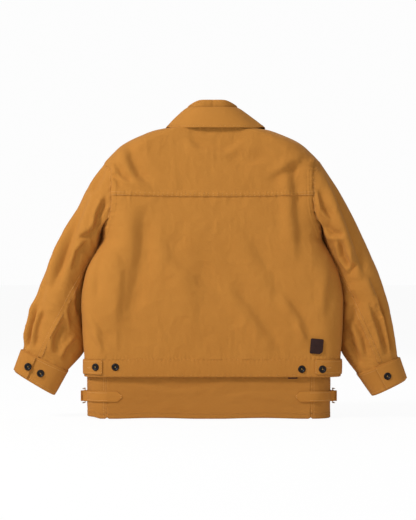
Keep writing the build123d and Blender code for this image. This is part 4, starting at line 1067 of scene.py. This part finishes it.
def stand_shape():
    """The stand collar, highest behind and narrower at its top, and the directions out of it."""
    reach = loop_reach(*STAND) - STAND_OPENING
    s = np.linspace(-reach, reach, STAND_COLS)[None]
    share = np.linspace(0, 1, STAND_ROWS)[:, None]
    foot, _ = on_loop(*STAND, s[0])
    top = STAND_HIGH - STAND_SLOPE * (foot[:, 1] + 0.053)
    top = top - 0.004 * smoothstep(0.03, 0.062, np.abs(foot[:, 0]))
    z = STAND_LOW * (1 - share) + top[None] * share
    xy, out = on_loop(*STAND, np.broadcast_to(s, z.shape))
    crease = np.exp(-(((s - 0.001) / 0.004) ** 2)) * smoothstep(0.75, 0.77, z)
    relief = 0.0008 * value_noise(s + 0 * z, z, 0.03, 111, 3) - 0.0016 * crease
    middle = np.array([0, MID_Y])
    xy = (xy - middle) * (1 - STAND_TAPER * share)[..., None] + middle + out * relief[..., None]
    return with_z(xy, z), with_z(out, 0.0)


stand_grid, stand_normal = stand_shape()
cloth_piece("stand_collar", stand_grid, STAND_THICK, TWO_SIDED, slot_name="inner_canvas")
double_row("coat", stand_grid, stand_normal, STAND_ROWS - 1, gap=0.0, first=0.004, direction=-1)

# The turned collar, by angle from the middle of the back and by share from its roll to its free edge.
COLLAR_ROWS, COLLAR_COLS = 46, 220
TIP_ANGLE, POINT_ANGLE, CHEST_ANGLE = np.radians((157, 142, 92))
ROLL_SHARE, ROLL_SIZE = 0.16, 0.0022
COLLAR_LOW, COLLAR_HIGH = 0.7155, 0.7665
POINT_DROP, TIP_RISE = 0.064, 0.032  # the free edge falls to the points in front and rises again at the tips
NECK_HALF, NECK_DEPTH, FLARE_HALF, FLARE_DEPTH = 0.0655, 0.054, 0.05, 0.019
CHEST_GAP = 0.0075  # between the chest and the collar's outer face
UNDER_INSET, UNDER_EDGE, UNDER_FIRST_ROW = 0.0026, 0.0012, 8


def collar_sheet(drop, edge_back):
    """The turned collar. drop moves it in from its outer face; edge_back pulls its free edge back."""
    turn = np.linspace(-TIP_ANGLE, TIP_ANGLE, COLLAR_COLS)[None]
    share = np.linspace(0, 1, COLLAR_ROWS)[:, None]
    front = smoothstep(CHEST_ANGLE, POINT_ANGLE, np.abs(turn))
    tip = smoothstep(POINT_ANGLE, TIP_ANGLE, np.abs(turn))
    low_z = COLLAR_LOW - POINT_DROP * front + TIP_RISE * tip + edge_back
    low_z = low_z + 0.0035 * np.exp(-(((np.abs(turn) - np.radians(72)) / 0.24) ** 2))
    high_z = COLLAR_HIGH - 0.012 * smoothstep(np.radians(60), TIP_ANGLE, np.abs(turn))
    c, s = oval(turn, COLLAR_POWER)
    roll = np.clip(share / ROLL_SHARE, 0, 1)
    fall = np.clip((share - ROLL_SHARE) / (1 - ROLL_SHARE), 0, 1)
    # The roll over the top, from inside the neck to the outer face.
    lean = (1 - roll) * np.pi * 0.9
    rolled = ROLL_SIZE * (1 - np.cos(lean)) * (share < ROLL_SHARE)
    half_width = NECK_HALF + FLARE_HALF * fall**0.92 - drop - rolled
    half_depth = NECK_DEPTH + FLARE_DEPTH * fall**0.8 - drop - rolled
    top = high_z - (0.008 * (1 - roll) * (roll < 1)) + ROLL_SIZE * np.sin(lean)
    z = top - fall**1.1 * (high_z - low_z)
    x = half_width * s * (1 + 0.13 * smoothstep(0.0, 0.6, s) * fall)
    relief = 0.0011 * value_noise(turn * 0.1 + 0 * z, z, 0.035, 121, 3)
    grid = np.stack([x * (1 + relief / 0.08), MID_Y - half_depth * c - relief * np.sign(c), z], -1)
    # It lies on the chest in front.
    for i, j in np.argwhere((grid[:, :, 1] > 0.01) & (grid[:, :, 2] < 0.72)):
        level = min(grid[i, j, 2], 0.717)
        chest = MID_Y + body_depth(level, min(abs(grid[i, j, 0]), 0.1))
        grid[i, j, 1] = max(grid[i, j, 1], chest + CHEST_GAP - drop)
    return grid


collar_grid = collar_sheet(0.0, 0.0)
collar_normal, _ = turned_out(collar_grid, False, outward_from_axis(collar_grid))
# Under the collar, the near-black cord on the inner face and on the under collar is partly painted shade.
cloth_piece("outer_collar", collar_grid, COLLAR_THICK, [canvas, dark_cloth])
double_row("coat", collar_grid, collar_normal, COLLAR_ROWS - 1, gap=0.0, first=0.0055, direction=-1)
under_grid = collar_sheet(UNDER_INSET, UNDER_EDGE)[UNDER_FIRST_ROW:]
cloth_piece("under_collar", under_grid, UNDER_THICK, [dark_cloth], slot_name="dark_cloth")

# ---------------------------------------------------------------- lining and loop
LINING_INSET, LINING_COLS = 0.0062, 130
LINING_LOW, LINING_HIGH, LINING_STEP = 0.168, 0.706, 0.007


def lining_row(z, side):
    """A level row of the lining, inside the body's row at that height."""
    half, depth, radius = body_section(z)
    outline = oblong(half - LINING_INSET, depth - LINING_INSET, radius - LINING_INSET)
    arcs = arcs_of(outline)
    reach = arm_cut(z, outline, arcs) - 0.004
    at = np.linspace(-reach, reach, LINING_COLS)
    x, y = np.interp(at, arcs, outline[:, 0]), np.interp(at, arcs, outline[:, 1])
    return np.stack([x, MID_Y - side * y, np.full(LINING_COLS, z - 0.002)], 1)


for side, word, relief in ((-1, "back", back_relief), (1, "front", front_relief)):
    grid = np.array([lining_row(z, side) for z in row_heights(LINING_LOW, LINING_HIGH, LINING_STEP)])
    x, z = grid[:, :, 0], grid[:, :, 2]
    follow = relief(x, z) * smoothstep(0.3, 0.22, np.abs(x))
    grid[:, :, 1] += side * (follow - 0.0008 * (1 + value_noise(x, z, 0.06, 131 + side, 2)))
    # The lining's dark red-brown is partly painted shade.
    form = {"slot_name": "lining", "nodes": ["body_lining"]}
    cloth_piece(f"lining_{word}", grid, LINING_THICK, [lining_cloth], **form)


def raised(path, heights):
    """A level path of (x, y) points, repeated at each height."""
    return np.stack([with_z(path, z) for z in heights])


LOOP_LOW, LOOP_HIGH, LOOP_HALF, LOOP_BOW = 0.724, 0.732, 0.028, 0.008
arc = np.linspace(-1, 1, 40)
loop_path = np.stack([LOOP_HALF * arc, MID_Y - 0.0402 + LOOP_BOW * (1 - arc**2)], 1)
loop_grid = raised(loop_path, np.linspace(LOOP_LOW, LOOP_HIGH, 5))
cloth_piece(
    "hanger_loop", loop_grid, LOOP_THICK, [canvas_trim], slot_name="inner_canvas", outward=OUT_IN_FRONT
)


# ---------------------------------------------------------------- tabs and straps
def rounded_share(count, edge=0.12):
    """Steps from 0 to 1, closer together at the ends."""
    t = np.linspace(0, 1, count)
    return t - edge * np.sin(2 * np.pi * t) / (2 * np.pi)


TIP_BLUNT = 0.12  # share of a strap's width left at its point


def strap_grid(loop, from_s, to_s, low, high, gap, tip=0.0, round_end=0.0, rows=15, count=90, crown=0.0006):
    """A flat strap round the coat; its far end at to_s is pointed by tip or rounded by round_end."""
    s_share = rounded_share(count)
    share = rounded_share(rows)[:, None]
    middle, half = (low + high) / 2, (high - low) / 2
    length = abs(to_s - from_s)
    away = np.sign(to_s - from_s)
    beyond = length * (1 - s_share)
    if tip:
        half_here = half * np.clip(TIP_BLUNT + (1 - TIP_BLUNT) * beyond / tip, 0, 1)
    else:
        inside = np.clip(1 - beyond / round_end, 0, 1) if round_end else 0 * beyond
        half_here = half - round_end * (1 - np.sqrt(np.clip(1 - inside**2, 0, 1)))
    s_line = from_s + away * length * s_share
    z = middle + half_here[None] * (2 * share - 1)
    lift = crown * np.sin(np.pi * share) + 0 * z
    flat, out = on_loop(*loop, np.broadcast_to(s_line, z.shape), gap)
    noise = 0.0004 * value_noise(s_line[None] + 0 * z, z, 0.02, 141)
    grid = with_z(flat + out * (lift + noise)[..., None], z)
    grid[..., 0] += LOWER_X if loop[0] == HALF_HEM else 0.0
    return grid, with_z(out, 0.0)


SEWN_ROW, SEWN_END = 2, -3  # the row and the last column that topstitching follows


def edge_sewing(body, grid, normal):
    """Topstitching near the border of a strap."""
    columns = range(SEWN_ROW, grid.shape[1] + SEWN_END + 1)
    for row in (SEWN_ROW, -1 - SEWN_ROW):
        sew(body, [grid[row, c] for c in columns], [normal[row, c] for c in columns])
    rows = range(SEWN_ROW, grid.shape[0] - SEWN_ROW)
    sew(body, [grid[r, SEWN_END] for r in rows], [normal[r, SEWN_END] for r in rows])


def looped(grid, side, bar, radius, turn_from, turn_to, lead_steps):
    """A strap led on from its near end round a bar at (x, y), written for the right."""
    turn = np.linspace(turn_from, turn_to, 22)
    x = side * bar[0] + LOWER_X + side * radius * np.cos(turn)
    wrap = np.stack([x, bar[1] + radius * np.sin(turn)], 1)
    lead = resample(np.vstack([wrap[-1:], grid[0, :1, :2]]), lead_steps)[1:-1]
    return np.concatenate([raised(np.vstack([wrap, lead]), grid[:, 0, 2]), grid], 1)


TAB_END = {"left": -0.27, "right": 0.252}
TAB_LOW, TAB_TOP, TAB_GAP = 0.109, 0.1445, 0.0042
BAND_SIDE = HALF_BAND - CORNER + CORNER * np.pi / 2  # how far round the coat its side begins
HEM_SIDE = HALF_HEM - CORNER + CORNER * np.pi / 2
for word, side in SIDES:
    end = loop_s(HALF_BAND, CORNER, TAB_END[word])
    start = side * (BAND_SIDE - 0.002)
    grid, normal = strap_grid(BAND, start, end, TAB_LOW, TAB_TOP, TAB_GAP, round_end=0.004)
    cloth_piece(f"{word}_waist_tab", grid, TAB_THICK, TRIM)
    edge_sewing("coat", grid, normal)

STRAP_LOW, STRAP_TOP, STRAP_GAP = 0.0415, 0.0665, 0.0028
STRAP_TIP_X, STRAP_BACK_X = 0.213, 0.2985
REAR_BAR, FRONT_BAR = (0.312, -0.028), (0.3072, -0.007)
for word, side in SIDES:
    # The free end, from its loop round the rear bar to its point.
    tip_s = loop_s(HALF_HEM, CORNER, side * STRAP_TIP_X)
    start = loop_s(HALF_HEM, CORNER, side * STRAP_BACK_X)
    grid, normal = strap_grid(HEM, start, tip_s, STRAP_LOW, STRAP_TOP, STRAP_GAP, tip=0.011)
    full = looped(grid, side, REAR_BAR, 0.0031, 0.1 * np.pi, 1.25 * np.pi, 10)
    name = f"{word}_strap_tail"
    cloth_piece(name, full, TAIL_THICK, TRIM, body=name)
    edge_sewing(name, grid, normal)
    # The sewn end, from the front to its loop on the front bar.
    flat_s, far_s = side * (HEM_SIDE + 0.004), side * (hem_reach - 0.215)
    grid, normal = strap_grid(HEM, flat_s, far_s, STRAP_LOW, STRAP_TOP, STRAP_GAP, round_end=0.003)
    full = looped(grid, side, FRONT_BAR, -0.003, -0.25 * np.pi, 1.2 * np.pi, 6)
    cloth_piece(f"{word}_strap_base", full, BASE_THICK, TRIM)
    edge_sewing("coat", grid, normal)


# ---------------------------------------------------------------- patch and label
PLATE_BEVEL = 0.0006


def outline_plate(name, outline, origin, right, up, thick, material):
    """A flat plate with rounded edges over an outline in its own plane."""
    out = np.cross(right, up)
    centre = outline.mean(0)
    levels = ((1.0, 0.0), (1.0, thick - PLATE_BEVEL), (0.985, thick - PLATE_BEVEL * 0.3), (0.95, thick))
    verts = []
    for share, height in levels:
        flat = centre + (outline - centre) * share
        verts.append(origin + flat[:, :1] * right + flat[:, 1:] * up + out * height)
    return make_object(name, np.vstack(verts), ring_faces(len(levels), len(outline)), None, [material])


def rounded_polygon(corners, radius, steps=6):
    corners = np.asarray(corners, float)
    points = []
    for i, corner in enumerate(corners):
        before, after = corners[i - 1] - corner, corners[(i + 1) % len(corners)] - corner
        before, after = before / np.linalg.norm(before), after / np.linalg.norm(after)
        for t in np.linspace(0, 1, steps):
            points.append(corner + radius * ((1 - t) ** 2 * before + t**2 * after))
    return np.array(points)


PATCH_TILT = np.radians(-5)
PATCH_CORNERS = ((-0.0155, -0.0185), (0.0095, -0.0185), (0.016, -0.0125), (0.016, 0.0185), (-0.0155, 0.0185))
patch_right = np.array([np.cos(PATCH_TILT), 0.0, np.sin(PATCH_TILT)])
patch_up = np.array([-np.sin(PATCH_TILT), 0.0, np.cos(PATCH_TILT)])
PATCH_DEPTH, PATCH_THICK = 0.0795, 0.0016
patch_place = np.array([PATCH_X, MID_Y - PATCH_DEPTH, PATCH_Z])
patch_outline = rounded_polygon(PATCH_CORNERS, 0.0032)
patch = outline_plate(
    "leather_patch", patch_outline, patch_place, patch_right, patch_up, PATCH_THICK, leather
)
add_piece(patch, "coat", "leather", "leather_patch")

LABEL_HALF_WIDTH, LABEL_HALF_HEIGHT = 0.0115, 0.015
label_corners = [
    (x * LABEL_HALF_WIDTH, z * LABEL_HALF_HEIGHT) for x, z in ((-1, -1), (1, -1), (1, 1), (-1, 1))
]
label_outline = rounded_polygon(label_corners, 0.001)
LABEL_X, LABEL_DEPTH, LABEL_Z, LABEL_THICK = 0.197, 0.0675, 0.113, 0.0008
label_place = np.array([LABEL_X, MID_Y - LABEL_DEPTH, LABEL_Z])
east, upright = np.array([1.0, 0.0, 0.0]), np.array([0.0, 0.0, 1.0])
label = outline_plate("inner_label", label_outline, label_place, east, upright, LABEL_THICK, dark_cloth)
add_piece(label, "coat", "dark_cloth", "inner_label")


# ---------------------------------------------------------------- front: placket, pockets, flaps
def front_y(z, x=0.0):
    return MID_Y + body_depth(z, x)


CHEST_COLS, CHEST_ROWS = 46, 60
ACROSS = rounded_share(CHEST_COLS)  # shares across a sheet on the chest


def front_sheet(name, low_x, high_x, low_edge, high_edge, gap, thick, body="coat", lean=0.0):
    """A sheet on the chest between two edges, which are heights or rows of heights."""
    rise = rounded_share(CHEST_ROWS)[:, None]
    z = (low_edge + 0 * ACROSS)[None] * (1 - rise) + (high_edge + 0 * ACROSS)[None] * rise
    x = low_x + (high_x - low_x) * ACROSS[None] + lean * (z - z.min())
    y = np.vectorize(front_y)(z, np.abs(x)) + gap
    y = y + 0.0005 * value_noise(x, z, 0.03, 151, 2)
    grid = np.stack([x, y, z], -1)
    cloth_piece(name, grid, thick, TRIM, body, outward=OUT_IN_FRONT)
    up = np.broadcast_to(np.array(OUT_IN_FRONT, float), grid.shape)
    for column in (3, -4):
        sew(body, grid[2:-2, column], up[2:-2, column])
    for row in (3, -4):
        sew(body, grid[row, 2:-2], up[row, 2:-2])


PLACKET_LEFT, PLACKET_RIGHT, PLACKET_LOW, PLACKET_TOP = -0.042, 0.024, 0.1495, 0.684
POCKET_INNER, POCKET_OUTER, POCKET_TOP = 0.084, 0.2, 0.544
FLAP_MARGIN, FLAP_TOP = 0.004, 0.56
POCKET_LOW = 0.408 + 0.011 * np.clip(np.abs(2 * ACROSS - 1) * 5 - 4, 0, 1) ** 1.5
FLAP_LOW = 0.508 + 0.012 * np.abs(2 * ACROSS - 1)
WELT_INNER, WELT_OUTER, WELT_LOW, WELT_TOP, WELT_LEAN = 0.148, 0.17, 0.205, 0.345, 0.343
front_sheet("storm_placket", PLACKET_LEFT, PLACKET_RIGHT, PLACKET_LOW, PLACKET_TOP, 0.003, 0.0024)
for word, side in SIDES:
    low_x, high_x = sorted((side * POCKET_INNER, side * POCKET_OUTER))
    front_sheet(f"{word}_chest_pocket", low_x, high_x, POCKET_LOW, POCKET_TOP, 0.0025, 0.002)
    flap = f"{word}_chest_flap"
    front_sheet(flap, low_x - FLAP_MARGIN, high_x + FLAP_MARGIN, FLAP_LOW, FLAP_TOP, 0.0055, 0.0024, flap)
    low_x, high_x = sorted((side * WELT_INNER, side * WELT_OUTER))
    lean = side * WELT_LEAN
    front_sheet(f"{word}_pocket_welt", low_x, high_x, WELT_LOW, WELT_TOP, 0.0022, 0.002, lean=lean)

CLASP_HEIGHTS = (0.205, 0.32, 0.435, 0.55)
KEEPER_HALF, KEEPER_X, KEEPER_BEND = 0.009, 0.046, 0.0026
KEEPER_LIFT, RING_LIFT = 0.0034, 0.0037  # the keeper above the chest, and the ring above the keeper


def keeper_path(height):
    """A ring's keeper seen from above: round the ring, then down to its sewn foot."""
    keeper_y = max(front_y(height + shift) for shift in (-0.013, 0, 0.013)) + KEEPER_LIFT
    ring_y = keeper_y + RING_LIFT
    turn = np.linspace(1.5 * np.pi, 0.42 * np.pi, 20)
    bend = np.stack([KEEPER_X + KEEPER_BEND * np.cos(turn), ring_y + KEEPER_BEND * np.sin(turn)], 1)
    foot = ((0.048, ring_y + 0.0024), (0.058, ring_y - 0.0018), (0.0755, keeper_y - 0.001))
    return np.vstack([bend, resample(foot, 24)[1:]])


for number, height in enumerate(CLASP_HEIGHTS):
    grid = raised(keeper_path(height), np.linspace(height - KEEPER_HALF, height + KEEPER_HALF, 11))
    form = {"outward": (0.2, 1, 0), "nodes": ["dee_keepers"]}
    cloth_piece(f"dee_keeper_{number + 1}", grid, KEEPER_THICK, TRIM, **form)
    up = np.broadcast_to(np.array([0.25, 0.97, 0.0]), grid.shape)
    for row in (1, -2):
        sew("coat", grid[row, 24:-1], up[row, 24:-1])
    sew("coat", grid[1:-1, -3], up[1:-1, -3])

# ---------------------------------------------------------------- buttonholes
def buttonhole(body, centre, along, out, length=0.011):
    """A bar of close stitches round a slit."""
    centre, along, out = (np.asarray(v, float) for v in (centre, along, out))
    across = np.cross(out, along)
    t = np.linspace(0, 2 * np.pi, 60)
    ring = centre + along * (length / 2) * np.cos(t)[:, None] + across * 0.0013 * np.sin(t)[:, None]
    up = np.repeat(out[None], 60, 0)
    sew(body, ring, up, pitch=0.0011, length=0.0016, radius=0.0004)


TAB_HOLES, TAB_HOLE_Z, TAB_HOLE_GAP = (-0.3, 0.2835), 0.1255, 0.0046
for x in TAB_HOLES:
    point, out = on_loop(*BAND, loop_s(HALF_BAND, CORNER, x), TAB_HOLE_GAP)
    buttonhole("coat", (point[0], point[1], TAB_HOLE_Z), (-out[1], out[0], 0), (out[0], out[1], 0))

# ---------------------------------------------------------------- hardware carried over from the frame
HARDWARE = {
    nickel: ["left_buckle", "right_buckle", "clasp_plates", "clasp_pins", "dee_rings", "clasp_rivets"],
    brass: ["front_waist_tack"],
    enamel: ["front_waist_button"],
}
for place in ("waist_button", "chest_button", "left_cuff", "right_cuff"):
    HARDWARE[brass].append(f"{place}_tacks")
    HARDWARE[enamel].append(f"{place}s" if place.endswith("button") else f"{place}_buttons")
for material, names in HARDWARE.items():
    for name in names:
        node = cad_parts[name]
        for holder in node.material_slots:
            holder.material = material
        if not node.material_slots:
            node.data.materials.append(material)
for number in range(1, len(CLASP_HEIGHTS) + 1):
    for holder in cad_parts[f"clasp_hook_{number}"].material_slots:
        holder.material = nickel


def attach(thing, body, bends):
    """Let a piece ride on its body, or else bake its place into its mesh and leave it on no body."""
    if bends:
        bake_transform(thing)
    else:
        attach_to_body(thing, body)


for thing, body, slot_name, nodes, bends in pieces:
    attach(thing, body, bends)
    if nodes:
        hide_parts(*nodes)
for body, parts in thread_parts.items():
    attach(joined(f"stitching_{body}", parts, [thread]), body, body.endswith("_sleeve"))

# ---------------------------------------------------------------- stage, lights and camera
WHITE = (1, 1, 1, 1)
FLOOR_SEEN, FLOOR_TINT = 0.93, (0.93, 0.93, 0.93, 1)
SKY_SEEN, SKY_LIGHT = 0.98, 0.42


def mix_for_camera(tree, share, plain, seen, output):
    """Send a mix of two shaders to an output: share of the seen one for the camera, none elsewhere."""
    ray = add_node(tree, "LightPath").outputs["Is Camera Ray"]
    share_seen = add_node(tree, "Math", {1: share}, {0: ray}, "MULTIPLY")
    sources = (share_seen, plain, seen)
    mix = add_node(tree, "MixShader", links={i: source.outputs[0] for i, source in enumerate(sources)})
    tree.links.new(mix.outputs[0], tree.nodes[output].inputs["Surface"])


floor_values = {"Base Color": FLOOR_TINT, "Roughness": 0.9}
floor_material, floor_tree, floor_shader = new_material("white floor", floor_values)
glow = add_node(floor_tree, "Emission", {"Color": WHITE, "Strength": 1.0})
mix_for_camera(floor_tree, FLOOR_SEEN, floor_shader, glow, "Material Output")
# A wide level floor, which runs into the white of the sky.
FLOOR_HALF, FLOOR_Z = 30.0, -0.0004
corners = [(x * FLOOR_HALF, y * FLOOR_HALF, FLOOR_Z) for x, y in ((-1, -1), (1, -1), (1, 1), (-1, 1))]
floor = make_object("floor", corners, [(0, 1, 2, 3)], None, [floor_material])

world = bpy.data.worlds.new("studio")
bpy.context.scene.world = world
world.use_nodes = True
backdrop = world.node_tree.nodes["Background"]
set_sockets(backdrop, {"Color": WHITE, "Strength": SKY_SEEN})
sky = add_node(world.node_tree, "Background", {"Color": WHITE, "Strength": SKY_LIGHT})
mix_for_camera(world.node_tree, 1.0, sky, backdrop, "World Output")


def area_light(name, place, target, size, power):
    data = bpy.data.lights.new(name, "AREA")
    data.shape = "DISK"
    data.size = size
    data.energy = power
    light = bpy.data.objects.new(name, data)
    light.location = place
    light.rotation_euler = (Vector(target) - Vector(place)).to_track_quat("-Z", "Y").to_euler()
    bpy.context.scene.collection.objects.link(light)


area_light("key", (-2.8, -2.1, 3.0), (0, 0, 0.4), 0.8, 142)
area_light("fill", (1.8, -4.2, 0.9), (0, 0, 0.4), 2.4, 21)
area_light("rim", (0.5, 3.0, 2.4), (0, 0, 0.5), 2.0, 25)

VIEW_WIDTH = 1.019  # metres across the picture, at the coat's back
LENS, SENSOR = 200, 36
CAMERA_X, CAMERA_Z, BACK_Y = -0.011, 0.3895, -0.08
camera_data = bpy.data.cameras.new("camera")
camera_data.sensor_width = SENSOR
camera_data.sensor_fit = "HORIZONTAL"
camera_data.lens = LENS
camera_data.clip_end = 100
camera = bpy.data.objects.new("camera", camera_data)
camera.location = (CAMERA_X, BACK_Y - VIEW_WIDTH * LENS / SENSOR, CAMERA_Z)
camera.rotation_euler = (np.pi / 2, 0, 0)
bpy.context.scene.collection.objects.link(camera)
bpy.context.scene.camera = camera
bpy.context.scene.view_settings.view_transform = "Standard"
